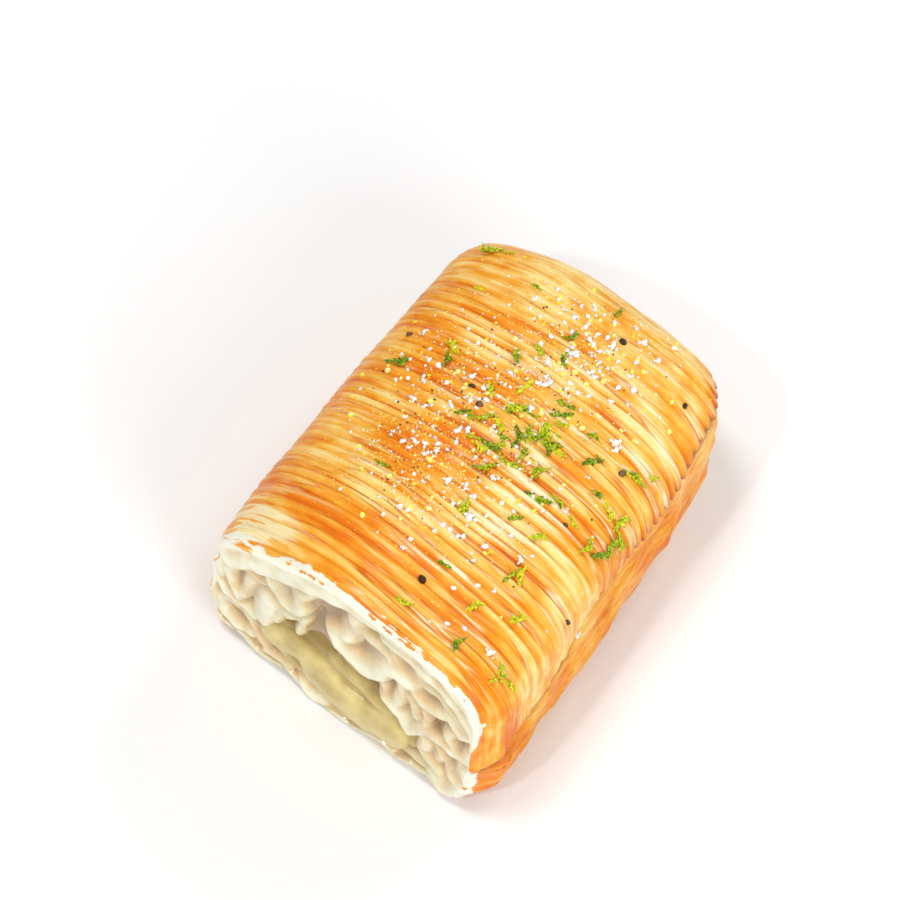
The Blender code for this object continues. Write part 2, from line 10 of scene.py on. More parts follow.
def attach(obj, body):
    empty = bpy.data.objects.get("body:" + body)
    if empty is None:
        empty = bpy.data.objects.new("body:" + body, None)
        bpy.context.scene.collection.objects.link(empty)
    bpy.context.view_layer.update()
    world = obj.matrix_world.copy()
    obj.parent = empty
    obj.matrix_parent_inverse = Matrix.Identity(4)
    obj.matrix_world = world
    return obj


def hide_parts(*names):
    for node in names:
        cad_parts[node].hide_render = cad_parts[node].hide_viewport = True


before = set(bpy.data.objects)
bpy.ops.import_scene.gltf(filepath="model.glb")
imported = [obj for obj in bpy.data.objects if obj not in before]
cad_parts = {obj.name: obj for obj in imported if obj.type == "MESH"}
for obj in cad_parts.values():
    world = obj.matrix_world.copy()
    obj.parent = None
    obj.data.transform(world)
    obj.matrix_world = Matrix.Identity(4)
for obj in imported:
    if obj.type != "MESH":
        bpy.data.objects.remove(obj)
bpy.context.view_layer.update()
mm = 0.001
mergeWithin = 2e-6                          # points closer than this become one


def deselectAll():
    bpy.ops.object.select_all(action="DESELECT")


def makeActive(piece):
    deselectAll()
    piece.select_set(True)
    bpy.context.view_layer.objects.active = piece


def nameActive(name):
    piece = bpy.context.active_object
    piece.name = piece.data.name = name
    return piece


def joined(name, pieces):
    deselectAll()
    for piece in pieces:
        piece.select_set(True)
    bpy.context.view_layer.objects.active = pieces[0]
    if len(pieces) > 1:
        bpy.ops.object.join()
    return nameActive(name)


def closeSeams(piece):
    # merge doubled points and turn every face outwards
    makeActive(piece)
    bpy.ops.object.mode_set(mode="EDIT")
    bpy.ops.mesh.select_all(action="SELECT")
    bpy.ops.mesh.remove_doubles(threshold=mergeWithin)
    bpy.ops.mesh.normals_make_consistent(inside=False)
    bpy.ops.object.mode_set(mode="OBJECT")


def smoothShade(piece):
    makeActive(piece)
    bpy.ops.object.shade_smooth()


def smooth(value):
    t = np.clip(value, 0.0, 1.0)
    return t * t * (3.0 - 2.0 * t)


def wobble(a, b, c=0.0):
    # smooth noise between about -1 and 1, one value for each entry of the arrays
    a, b, c = np.broadcast_arrays(a, b, c)
    places = zip(a.ravel().tolist(), b.ravel().tolist(), c.ravel().tolist())
    return np.array([noise.noise(place) for place in places]).reshape(a.shape) * 1.6


def bellCurve(value, middle, spread):
    return np.exp(-((value - middle) / spread) ** 2)


def setAttribute(mesh, name, values):
    layer = mesh.attributes.new(name, "FLOAT", "POINT")
    layer.data.foreach_set("value", np.ascontiguousarray(values, dtype=np.float32).ravel())


def setPlaces(mesh, places):
    mesh.vertices.foreach_set("co", np.ascontiguousarray(places, dtype=np.float32).ravel())
    mesh.update()


def getPlaces(mesh):
    flat = np.empty(len(mesh.vertices) * 3, dtype=np.float32)
    mesh.vertices.foreach_get("co", flat)
    return flat.reshape(-1, 3).astype(float)


def getCorners(mesh):
    # the point at each corner of each face
    corners = np.empty(len(mesh.loops), dtype=np.int32)
    mesh.loops.foreach_get("vertex_index", corners)
    return corners


# the plain form of the roll, the same as its solids have
rollForm = {
    "length": 0.113, "width": 0.075, "height": 0.048,
    "cutSlant": math.radians(-6.6),
    "waistSeamSide": 0.028, "waistFarSide": 0.022,
    "crownWideSeamSide": 2.7, "crownWideFarSide": 1.9, "crownTall": 3.1, "baseSquare": 4.5,
    "pressedFlat": 0.0003,
    "endRadiusTop": 0.0205, "endRadiusLow": 0.011, "endCloseSeamSide": 0.62, "endCloseFarSide": 0.22,
    "endLastAngle": math.radians(74), "endMiddle": 0.42, "endBulge": 0.0008,
    "endSkew": 0.0020, "endSkewFrom": 0.070,
    "slump": (      # distance from the cut and how far the lower seam side sinks outwards, in mm
        (0, 0.9), (6, 3.2), (28, 3.6), (46, 4.4), (64, 3.6), (82, 2.2), (100, 1.6), (113, 0.8)),
    "slumpHeights": (0.014, 0.034),
    "outlineSamples": 2400,
    "shift": (-0.000528, -0.055017),        # from the cut's middle to the middle of the base
}
straight = rollForm["length"] - rollForm["endRadiusTop"]
middleHeight = rollForm["height"] * rollForm["endMiddle"]
middleAlong = rollForm["length"] / 2

cutForm = {
    "rimRound": 0.0012,
    "pinchSeamSide": 0.0034, "pinchFarSide": 0.0005, "pinchLength": 0.0075,
    "shoulderDrop": 0.0032, "shoulderX": -0.024, "shoulderSpread": 0.013,
    "hemHeight": 0.012, "hemLength": 0.006,
    "hemLift": (    # x and lift of the ragged lower edge, in mm
        (-36, -5.0), (-32, 1.0), (-28, 3.6), (-24, 1.8), (-19, 2.8), (-15, 4.3), (-12, 2.4),
        (-8, 0.2), (-3, 0.6), (3, 0.8), (8, 3.0), (12, 3.9), (15, 2.3), (19, 3.7), (24, 3.6),
        (28, -2.0), (32, -5.0), (36, -9.0)),
}


def sectionOutline():
    # the section from the base's middle up the far side, over the crown and down the seam side
    angles = np.linspace(-math.pi, math.pi, rollForm["outlineSamples"])
    across, upward = np.sin(angles), np.cos(angles)
    seamSide = across >= 0
    waist = np.where(seamSide, rollForm["waistSeamSide"], rollForm["waistFarSide"])
    crownWide = np.where(seamSide, rollForm["crownWideSeamSide"], rollForm["crownWideFarSide"])
    wide = np.where(upward >= 0, crownWide, rollForm["baseSquare"])
    x = np.sign(across) * np.abs(across) ** (2 / wide) * rollForm["width"] / 2
    rise = (rollForm["height"] - waist) * np.abs(upward) ** (2 / rollForm["crownTall"])
    fall = waist * np.abs(upward) ** (2 / rollForm["baseSquare"])
    z = np.maximum(waist + np.where(upward >= 0, rise, -fall) - rollForm["pressedFlat"], 0.0)
    travel = np.concatenate([[0.0], np.cumsum(np.hypot(np.diff(x), np.diff(z)))])
    return travel - travel[int(np.argmax(z))], x, z


outlineArc, outlineX, outlineZ = sectionOutline()
girth = outlineArc[-1] - outlineArc[0]
seamCorner = outlineArc[(outlineX > 0) & (outlineZ > 0)].max()
farCorner = outlineArc[(outlineX < 0) & (outlineZ > 0)].min()


def wrapArc(arc):
    return (arc - outlineArc[0]) % girth + outlineArc[0]


def outlineAt(arc):
    arc = wrapArc(arc)
    return np.interp(arc, outlineArc, outlineX), np.interp(arc, outlineArc, outlineZ)


def outlineNormal(arc):
    step = 0.6 * mm
    x0, z0 = outlineAt(arc - step)
    x1, z1 = outlineAt(arc + step)
    length = np.hypot(x1 - x0, z1 - z0)
    return -(z1 - z0) / length, (x1 - x0) / length


def crustPoint(arc, along, relief=0.0):
    # a place on the outside, with relief standing out from the plain form
    x, z = outlineAt(arc)
    normalX, normalZ = outlineNormal(arc)
    angle = np.clip((along - straight) / rollForm["endRadiusTop"], 0.0, rollForm["endLastAngle"])
    y = np.minimum(along, straight) + rollForm["endRadiusTop"] * np.sin(angle)
    lowSweep = (y - (rollForm["length"] - rollForm["endRadiusLow"])) / rollForm["endRadiusLow"]
    turned = np.where(z > middleHeight, angle, np.arcsin(np.clip(lowSweep, 0.0, 1.0)))
    z = middleHeight + (z - middleHeight) * np.cos(turned)
    closing = np.where(x >= 0, rollForm["endCloseSeamSide"], rollForm["endCloseFarSide"])
    x = x * (1 - closing * (1 - np.cos(angle)))
    x = x + relief * normalX * np.cos(angle)
    y = y + relief * np.sin(angle)
    z = z + relief * normalZ * np.cos(turned)

    share = np.clip(x / (rollForm["width"] / 2), -1, 1)      # the soft side sinks outwards
    lowest, highest = rollForm["slumpHeights"]
    low = 1 - smooth((z - lowest) / (highest - lowest))
    x = x + np.interp(y / mm, *zip(*rollForm["slump"])) * mm * low * np.maximum(share, 0) ** 2
    skewFrom = rollForm["endSkewFrom"]
    y = y + rollForm["endSkew"] * share * np.clip((y - skewFrom) / (rollForm["length"] - skewFrom), 0, 1)

    nearCut = smooth(1 - along / cutForm["pinchLength"])     # the cut pinches the sides
    x = x - nearCut * (cutForm["pinchSeamSide"] * np.maximum(share, 0) ** 4
                       - cutForm["pinchFarSide"] * np.maximum(-share, 0) ** 4)
    shoulder = bellCurve(x, cutForm["shoulderX"], cutForm["shoulderSpread"])
    raised = np.clip((z - middleHeight) / (rollForm["height"] - middleHeight), 0, None)
    z = z - nearCut * cutForm["shoulderDrop"] * shoulder * raised

    hem = smooth(1 - along / cutForm["hemLength"]) * smooth(1 - z / cutForm["hemHeight"])
    z = z + hem * np.interp(x / mm, *zip(*cutForm["hemLift"])) * mm
    return np.stack([x, y, np.maximum(z, 0.0)], axis=-1)


def inPlace(points):
    # lean along the slanted cut, then move to the frame's origin
    points = np.array(points, dtype=float)
    points[..., 1] += points[..., 0] * math.tan(rollForm["cutSlant"]) + rollForm["shift"][1]
    points[..., 0] += rollForm["shift"][0]
    return points


# what stands out from the plain form: the ridges across the crown and the seam of the wrap
ridges = {
    "pitch": 0.0028, "uneven": 0.35, "depth": 0.00085, "sway": 0.0009, "fadeHeight": 0.007,
    "seed": 11, "roundness": 2.3, "partsPerSlope": 3, "settle": 0.006,
    "strength": (0.66, 0.45, 0.30),         # a ridge's usual strength, and how far it varies
    "strengthRange": (-0.15, 1.1),
    "swell": 0.0009,                        # slow swelling of the whole crust
    "calmBack": 0.74, "calmLeft": 0.42,     # how far the ridges fade by the closed end and far side
    "backMiddle": 0.004, "backSpread": 0.052, "backFrom": 0.076, "backFade": 0.020,
    "leftFrom": 0.014, "leftFade": 0.022,
    "fineDepth": 0.00022,                   # fine streaks on top of the ridges
}
seam = {
    "arcAtCut": 0.0550, "climb": 0.18, "dip": 0.0035, "dipLength": 0.010,
    "wave": 0.0011, "waveLengths": (0.0085, 0.0037),
    "step": 0.0016,                         # how far the wrap stands out over the strip
    "tuck": 0.0010, "tuckFrom": 0.004,      # how far the strip runs on under the wrap
    "endGap": 0.0003,                       # and how far it stops short of it at both ends
    "underWrap": 0.0006,                    # how much deeper the strip lies where it is tucked
    "lipRound": 0.0011, "lipThick": 0.0009, "lipThinner": 0.5,
    "scallop": 0.0007,                      # how far the ridges' ends stand out past the seam
    "scallopFrom": 0.030, "scallopFade": 0.030,
    "flake": 0.0007, "stripFair": 0.012,
    "crackUntil": 0.066, "crackFade": 0.026, "calm": 0.85, "calmFrom": 0.028, "calmFade": 0.018,
    "fairing": 0.0009, "fairLength": 0.014,
    "seamShadeWidth": 0.0009,                    # how wide the painted shade along the seam is
    "lipLumps": 0.0009, "lipLumpLength": 0.009, "lipLumpArc": -0.030,   # on the torn far shoulder
    "lipLumpFade": 0.012,
}
# noise over the crust: features per metre across and along the roll, and its layer
crustNoise = {
    "sway": (26, 45, 1.0), "ridge": (55, 330, 3.0), "ridgeSlow": (32, 70, 5.0), "swell": (38, 30, 7.0),
    "fine": (75, 900, 12.0), "flake": (420, 60, 9.0), "smallFlake": (900, 110, 15.0),
    "lipLumps": (190, 160, 31.0),
}


def crustWobble(name, arc, along):
    perArc, perAlong, layer = crustNoise[name]
    return wobble(arc * perArc, along * perAlong, layer)


def ridgeRows():
    # the distance from the cut of each groove (level -1) and crest (level 1)
    rng = random.Random(ridges["seed"])
    reach = straight + rollForm["endRadiusTop"] * rollForm["endLastAngle"]
    along = 2 * cutForm["rimRound"]
    rows = [(0.0, 0), (cutForm["rimRound"], 0)]
    while along < reach - ridges["pitch"]:
        width = ridges["pitch"] * (1 + ridges["uneven"] * rng.uniform(-1, 1))
        rows += [(along, -1), (along + width / 2, 1)]
        along += width
    return rows + [(reach, 0)]


def fineRows():
    # the same rows with others between them, so that crests come out round and grooves sharp
    coarse = ridgeRows()
    parts = ridges["partsPerSlope"]
    rows = []
    for (along0, level0), (along1, level1) in zip(coarse, coarse[1:]):
        for part in range(parts):
            t = part / parts
            if level1 - level0 == 2:
                level = -1 + 2 * (1 - (1 - t) ** ridges["roundness"])
            elif level0 - level1 == 2:
                level = -1 + 2 * (1 - t ** ridges["roundness"])
            else:
                level = level0 + (level1 - level0) * t
            rows.append((along0 + (along1 - along0) * t, level))
    return rows + [coarse[-1]]


rowAlong, rowLevel = (np.array(values, dtype=float) for values in zip(*fineRows()))
reachAlong = rowAlong[-1]


def seamArc(along):
    long, short = seam["waveLengths"]
    wave = np.sin(along / long) * 0.6 + np.sin(along / short + 1.0) * 0.4
    dip = seam["dip"] * smooth(1 - along / seam["dipLength"])
    return seam["arcAtCut"] - seam["climb"] * along + seam["wave"] * wave + dip


def seamFront(along):
    # 1 where the seam is a thin crack, near the cut, and 0 where ridge ends stand over it
    return smooth((seam["crackUntil"] - along) / seam["crackFade"])


def ridgeStrength(arc, along):
    # how strong each ridge is at a place: it varies along a ridge, and dies out by the thin crack
    usual, varies, variesSlowly = ridges["strength"]
    strength = usual + varies * crustWobble("ridge", arc, along) \
        + variesSlowly * crustWobble("ridgeSlow", arc, along)
    return np.clip(strength, *ridges["strengthRange"]) * (1 - seam["calm"] * calmShare(arc, along))


def calmShare(arc, along):
    # where the ridges die out: by the thin crack, at the closed end and low on the far side
    byCrack = smooth((arc - seam["calmFrom"]) / seam["calmFade"]) * seamFront(along)
    back = ridges["calmBack"] * bellCurve(arc, ridges["backMiddle"], ridges["backSpread"]) \
        * smooth((along - ridges["backFrom"]) / ridges["backFade"])
    left = ridges["calmLeft"] * smooth((-arc - ridges["leftFrom"]) / ridges["leftFade"])
    return np.maximum(byCrack, np.maximum(back, left))


def endFade(along):
    # 1 over most of the roll, 0 where the closed end's patch begins
    return smooth((reachAlong - along) / rollForm["endRadiusTop"] * 2)


# the pastry is a grid wrapped into the crust, closed by a cut end and a rounded end
pastryMesh = {
    "stripColumns": 38, "wrapColumns": 138, "baseColumns": 40,
    "across": 64, "upward": 44,             # faces of the two end grids; their edge is the ring
    "firstCorner": 16,                      # ring column of the cut end's lower seam-side corner
    "cutRefine": 2,
    "lipOffsets": (0.0, 0.00025, 0.0006, 0.0011, 0.0018),
}
uvUnit = 0.1
ringSize = sum(pastryMesh[key] for key in ("stripColumns", "wrapColumns", "baseColumns"))


def ringColumns():
    # the arc of every column on every row, from the strip's foot round to it again, and of the edge
    rows = len(rowAlong)
    seamLine = seamArc(rowAlong)
    scallop = seam["scallop"] * smooth((rowAlong - seam["scallopFrom"]) / seam["scallopFade"]) \
        * endFade(rowAlong)
    edge = (seamLine + scallop * rowLevel)[:, None]
    inmost = (seamLine - scallop)[:, None]
    stripShare = np.linspace(0, 1, pastryMesh["stripColumns"])[None, :]
    inside = (smooth(rowAlong / seam["tuckFrom"]) * endFade(rowAlong))[:, None]
    tuck = (seam["tuck"] + seam["endGap"]) * inside - seam["endGap"]
    strip = seamCorner + (inmost - tuck - seamCorner) * stripShare
    lips = edge - np.array(pastryMesh["lipOffsets"])[None, :]
    restCount = pastryMesh["wrapColumns"] - lips.shape[1]
    restShare = (np.arange(restCount) + 1) / restCount
    rest = lips[:, -1:] + (farCorner - lips[:, -1:]) * restShare[None, :]
    baseShare = (np.arange(pastryMesh["baseColumns"]) + 1) / (pastryMesh["baseColumns"] + 1)
    base = np.broadcast_to(farCorner + (seamCorner - girth - farCorner) * baseShare,
                           (rows, len(baseShare)))
    foot = np.full((rows, 1), seamCorner - girth)
    return np.hstack([strip, lips, rest, base, foot]), edge


def shapeCrust():
    # arc, along and relief of each place in the crust's grid, and the marks that its colours follow
    arc, edge = ringColumns()
    level = rowLevel[:, None]
    settled = smooth(rowAlong / ridges["settle"]) * smooth((reachAlong - rowAlong) / ridges["settle"])
    around = wrapArc(arc + 1e-9)                              # the same on both sides of the join
    sway = ridges["sway"] * crustWobble("sway", around, rowAlong[:, None])
    along = rowAlong[:, None] + sway * settled[:, None]
    aboveBase = smooth(outlineAt(arc)[1] / ridges["fadeHeight"])
    fade = endFade(along)
    onStrip = np.zeros(arc.shape, dtype=bool)
    onStrip[:, :pastryMesh["stripColumns"]] = True

    strength = ridgeStrength(around, along)
    ridge = level * ridges["depth"] / 2 * strength
    fine = ridges["fineDepth"] * crustWobble("fine", around, along)
    fromEdge = edge - arc                                     # over the wrap, away from its edge
    lipShare = np.clip(1 - fromEdge / seam["lipRound"], 0, 1)
    front = seamFront(along)
    lipDrop = seam["lipThick"] * (1 - np.sqrt(1 - lipShare ** 2)) * fade
    lipDrop = lipDrop * (1 - seam["lipThinner"] * front)
    fairing = seam["fairing"] * smooth(1 - fromEdge / seam["fairLength"]) * front
    wrapRelief = (ridge + fine) * aboveBase - np.where(onStrip, 0, lipDrop + fairing)

    # the strip's flakes end before the wrap's edge, and it goes deeper below the wrap
    underWrap = smooth(fromEdge / seam["tuck"] + 0.3)
    stripDepth = seam["step"] * smooth((seamCorner - arc) / seam["stripFair"]) * fade
    stripDepth = stripDepth + seam["underWrap"] * underWrap * fade
    flakes = crustWobble("flake", around, along) + 0.5 * crustWobble("smallFlake", around, along)
    flakes = seam["flake"] * flakes * aboveBase * fade
    flakes = flakes * (1 - smooth(fromEdge / seam["tuck"] + 1.5))
    swell = ridges["swell"] * crustWobble("swell", around, along) * aboveBase * fade
    relief = swell + np.where(onStrip, flakes - stripDepth, wrapRelief)

    onLip = smooth(1 - rowAlong / seam["lipLumpLength"])[:, None] \
        * smooth((seam["lipLumpArc"] - around) / seam["lipLumpFade"])
    relief = relief + seam["lipLumps"] * crustWobble("lipLumps", around, along) * onLip * aboveBase
    rimShare = np.clip(1 - rowAlong / cutForm["rimRound"], 0, 1)[:, None]
    relief = relief - cutForm["rimRound"] * (1 - np.sqrt(1 - rimShare ** 2)) * aboveBase
    crest = np.where(onStrip, 0.0, np.clip(level * strength, -1, 1) * aboveBase)
    # the painted shade along the seam is wider on the strip, under the wrap's lip, than on the wrap, and a
    # little fainter here and there
    width = seam["seamShadeWidth"] * np.where(onStrip, 2.0, 1.0) * (1.3 - 0.6 * front)
    seamShade = np.exp(-(fromEdge / width) ** 2) * fade * smooth(1.2 - 0.4 * wobble(along * 300, 0.0))
    marks = {"crest": crest, "strip": onStrip.astype(float), "seamShade": seamShade,
             "calm": calmShare(around, along)}
    return arc, along, relief, marks


def gridPiece(name, columns, rows):
    # a flat grid; returns it with the column and row of each of its points
    bpy.ops.mesh.primitive_grid_add(x_subdivisions=columns, y_subdivisions=rows, size=1.0)
    piece = nameActive(name)
    flat = getPlaces(piece.data)
    column = np.rint((flat[:, 0] + 0.5) * columns).astype(int)
    row = np.rint((flat[:, 1] + 0.5) * rows).astype(int)
    return piece, column, row


def setUv(mesh, u, v):
    # across and along the roll in units of 100 mm
    corners = getCorners(mesh)
    uv = np.stack([u[corners], v[corners]], axis=-1) / uvUnit
    mesh.uv_layers[0].data.foreach_set("uv", np.ascontiguousarray(uv, dtype=np.float32).ravel())


def crustTube(arc, along, relief, marks):
    piece, column, row = gridPiece("crustTube", ringSize, len(rowAlong) - 1)
    mesh = piece.data
    points = crustPoint(arc, along, relief)
    setPlaces(mesh, points[row, column])
    setUv(mesh, arc[row, column], along[row, column])
    for name, values in marks.items():
        setAttribute(mesh, name, values[row, column])
    setAttribute(mesh, "hollowShade", np.zeros(len(column)))
    return piece, points


def patchPoints(ring, u, v):
    # places inside a ring of points, blended from its four sides
    across, upward = pastryMesh["across"], pastryMesh["upward"]
    i, k = np.rint(u * across).astype(int), np.rint(v * upward).astype(int)
    count = len(ring)
    right, top = ring[k], ring[upward + across - i]
    left = ring[(upward + across + upward - k) % count]
    bottom = ring[(2 * upward + across + i) % count]
    lowLeft, lowRight = ring[2 * upward + across], ring[0]
    topRight, topLeft = ring[upward], ring[upward + across]
    u, v = u[:, None], v[:, None]
    corners = lowLeft * (1 - u) * (1 - v) + lowRight * u * (1 - v) + topRight * u * v \
        + topLeft * (1 - u) * v
    return left * (1 - u) + right * u + bottom * (1 - v) + top * v - corners


def endPatch(name, ring, bulge=0.0):
    across, upward = pastryMesh["across"], pastryMesh["upward"]
    piece, column, row = gridPiece(name, across, upward)
    u, v = column / across, row / upward
    points = patchPoints(ring, u, v)
    points[:, 1] += bulge * np.sin(math.pi * u) * np.sin(math.pi * v)
    setPlaces(piece.data, points)
    setUv(piece.data, points[:, 0], points[:, 2] + points[:, 1])
    for mark in ("crest", "strip", "seamShade", "calm", "hollowShade"):
        setAttribute(piece.data, mark, np.zeros(len(u)))
    return piece


# the cut end has folds of soft dough over deep hollows
# each fold: its line as x and z in mm, how far it reaches above and below, and its height
doughFolds = (
    (((-32, 30), (-27, 34.5), (-20, 38.2), (-14, 41), (-7, 44.2), (0, 45.8), (8, 46.6), (16, 46.6),
      (24, 44.8), (30, 41.6), (33, 37.5)), 3.2, 2.0, 0.3),
    (((9, 43.2), (15, 43), (21, 41.6), (27, 38.6), (31, 35), (33, 31.5)), 2.2, 1.6, 0.0),
    (((17, 37.8), (22, 37), (27, 34.5), (30.5, 31.5)), 2.0, 1.5, -0.6),
    (((-8.5, 42.5), (-11.5, 38.5), (-14, 34.5), (-13.4, 31)), 2.0, 2.0, -0.3),
    (((0.8, 43.5), (1.4, 39), (0, 35), (-2, 31.5)), 2.2, 2.6, -0.2),
    (((-3.4, 31), (-2.6, 29), (0, 28.2), (3, 26.8), (6, 27.2), (8.4, 29.3), (9.8, 32.2), (12.4, 34.6),
      (16, 34.2)), 2.8, 1.4, 0.3),
    (((0.5, 25.9), (3.5, 24.8), (6.5, 24.9), (8.6, 25.8)), 1.2, 0.8, -1.3),
    (((2.6, 40.3), (6.2, 39.3), (9.6, 38.4), (12, 35.5)), 1.6, 1.5, -0.3),
    (((10.2, 41.5), (11.8, 38.5), (14.4, 36)), 1.5, 1.5, -0.6),
    (((17.2, 41), (18.2, 38), (18, 35)), 1.4, 1.4, -0.5),
    (((17, 32.8), (19.5, 30.6), (22.4, 30), (25, 31)), 2.4, 1.3, -0.2),
    (((26, 33), (28, 30.4), (29.6, 28.6)), 1.8, 1.6, -0.3),
    (((32.4, 34), (32.4, 30.5), (30, 28.6)), 1.6, 1.6, -0.2),
    (((9.4, 27.5), (10.2, 24), (11.8, 21.6)), 1.2, 1.3, -0.5),
    (((13.8, 32), (14.6, 28), (14.0, 24.5), (13.0, 21.6)), 1.8, 1.6, -0.3),
    (((10.6, 22.2), (12.5, 21.2), (15, 20), (16.2, 17.6), (17.6, 16.2), (19.2, 17.8), (20.6, 20)),
     1.8, 1.0, 0.1),
    (((16.4, 28.8), (17.8, 26), (18.6, 23.2)), 1.8, 1.6, -0.4),
    (((20.4, 28), (21.2, 25.4), (21, 22.4)), 1.4, 1.4, -0.6),
    (((27.8, 27.4), (27, 24.6), (28.6, 22)), 1.7, 1.7, -0.4),
    (((33.6, 28.6), (33.6, 25), (32, 21.6)), 1.8, 1.6, -0.3),
    (((20, 20.4), (24, 20.8), (29, 20.3), (34, 21)), 1.8, 1.0, -0.2),
    (((20.8, 18.2), (21.8, 16), (21.8, 14.2)), 2.0, 1.8, -0.3),
    (((25.6, 17.6), (26.6, 15.4), (25.6, 13.2)), 1.8, 1.6, -0.6),
    (((31.4, 18.6), (32, 15), (31, 11.6)), 2.2, 1.8, -0.5),
    (((21.2, 12.6), (23.8, 10.5), (26, 9)), 1.8, 1.3, -0.2),
    (((28.6, 13.2), (29.6, 10.6), (31.6, 9)), 1.9, 1.6, -0.4),
    (((25.6, 6.5), (27.4, 3.6), (30, 4.2), (32.8, 7.4)), 2.6, 1.6, 0.2),
    (((16.4, 7.4), (20, 6.8), (23.4, 6.8)), 1.6, 1.2, -0.8),
    (((-21.4, 35), (-20.4, 32), (-17.8, 29.6), (-15.2, 28.9), (-12.8, 31)), 2.2, 1.2, 0.1),
    (((-11.6, 28.6), (-12.4, 25.4), (-12.9, 22.2)), 1.2, 1.6, -0.3),
    (((-21, 26), (-22, 21.6), (-22.5, 17.4)), 2.6, 2.4, 0.3),
    (((-15, 26.4), (-17.8, 24), (-19.4, 20.6)), 2.0, 1.8, -0.3),
    (((-27.4, 31), (-24, 30.2), (-21.4, 31.2)), 1.6, 1.0, -0.4),
    (((-31.2, 30.4), (-32.4, 26), (-31.6, 22), (-29.6, 18.6)), 1.8, 1.8, -0.1),
    (((-26.2, 28.4), (-27.4, 24.2), (-28.4, 20.8)), 1.7, 1.7, -0.3),
    (((-34.4, 33), (-35, 28), (-34.6, 22.6)), 1.6, 1.6, -0.2),
    (((-34.8, 20), (-33.4, 17.2), (-30.6, 16.4), (-27, 16.8), (-24.6, 15.6)), 1.6, 1.2, 0.0),
    (((-34.4, 13), (-33.6, 9), (-30, 7), (-26, 7.6)), 2.2, 1.8, 0.0),
    (((-33, 14.6), (-29, 14.9), (-25.4, 12.8)), 1.5, 1.2, -0.3),
    (((-25.4, 12), (-23.4, 8.6), (-21.6, 6)), 1.6, 1.6, -0.4),
    (((-21.4, 4.8), (-18, 5.6), (-14.6, 5.8)), 1.6, 1.2, -0.3),
    (((-10.4, 3.8), (-7.6, 2.2), (-4.6, 2.8)), 2.0, 1.4, 0.2),
    (((-2.6, 1.6), (0.6, 1.4)), 1.2, 1.0, -0.2),
    (((11.6, 4.4), (14.6, 4.2)), 1.3, 1.1, -0.3),
)
# deeper places between them: x, z, half width, half height and depth in mm
doughHollows = (
    (-4.2, 38.4, 3.6, 5.2, 3.2), (6.4, 41.6, 2.6, 1.6, 1.2), (5.4, 34.8, 3.0, 2.6, 2.2),
    (14.0, 37.6, 2.4, 2.2, 1.8), (21.5, 34.2, 2.6, 1.8, 1.2), (-7.2, 31.4, 2.0, 3.0, 2.2),
    (11.4, 28.4, 1.9, 2.6, 2.2), (24.4, 25.6, 2.4, 2.8, 1.8), (29.8, 23.0, 2.6, 1.6, 0.8),
    (28.4, 9.0, 2.6, 1.4, 1.0), (-16.4, 35.6, 2.4, 3.0, 1.6), (-24.2, 33.2, 2.4, 2.6, 1.8),
    (-30.2, 26.0, 2.2, 2.6, 1.4), (-24.4, 27.4, 2.0, 2.2, 1.6), (-29.2, 11.2, 3.0, 2.2, 1.2),
)
cutFace = {
    "floor": -2.1, "floorWave": 0.6, "floorPitch": 5.5, "deepen": 1.2,
    "foldDrop": 2.4, "blend": 0.14, "widen": 1.27, "sheet": 0.5,
    "wave": 0.26, "wavePitch": 3.6,
    "droop": 0.42,                          # how far the folds hang down over what lies behind
    "hollowShadeFrom": 0.1, "hollowShadeDepth": 2.6,  # the dough is painted darker below this height, over this depth: painted shade in its hollows
    "shadeReach": 1.7, "foldShadeDepth": 2.0,  # how far below a fold the dough gets painted shade, and over what overhang it is darkest, in mm
    "edge": 1.6,                            # the relief fades in over this from the crust, in mm
    "pocketDepth": 7.0, "pocketEdge": 0.06,
}


def softMax(a, b, blend):
    return (a + b + np.sqrt((a - b) ** 2 + blend ** 2)) / 2


def foldHeight(x, z, folds, height, drop, blend, widen=1.0, sheet=0.0):
    # raise a height over x and z, all in mm, to the rounded folds; as sheets they lean back upwards
    for line, above, below, top in folds:
        nearest = np.full(x.shape, 9.0)
        upper = np.zeros(x.shape)
        for (x0, z0), (x1, z1) in zip(line, line[1:]):
            dx, dz = x1 - x0, z1 - z0
            length = math.hypot(dx, dz)
            share = np.clip(((x - x0) * dx + (z - z0) * dz) / length ** 2, 0, 1)
            px, pz = x - x0 - share * dx, z - z0 - share * dz
            distance = np.hypot(px, pz) + 1e-9
            side = pz / distance
            radius = (below + (above * (1 + sheet) - below) * (0.5 + 0.5 * side)) * widen
            closer = distance / radius < nearest
            nearest = np.where(closer, distance / radius, nearest)
            upper = np.where(closer, 0.5 + 0.5 * side, upper)
        inside = np.minimum(nearest, 1)
        rounded = 1 - np.sqrt(1 - inside ** 2)
        bump = top - drop * (rounded + (inside ** 1.5 - rounded) * upper * min(sheet * 2, 1))
        height = softMax(height, bump - drop * (nearest - inside), blend)
    return height


# the filling is a lens-shaped bar that runs through the roll
filling = {
    "middleX": -0.0015, "middleZ": 0.0125, "halfWidth": 0.0220, "up": 0.0120, "down": 0.0100,
    "pointed": 1.15, "end": 0.094, "taper": 0.4, "taperLength": 0.022, "setBack": 0.0014,
    "around": 168, "faceRows": 54, "bodyRows": 24, "endRows": 8,
    "grow": 0.0001,
    # the pocket behind it: where it starts, its room round the paste and its rings and rows
    "pocketFrom": 0.0035, "pocketRoom": 0.0003, "pocketRings": 4, "pocketRows": 12,
}
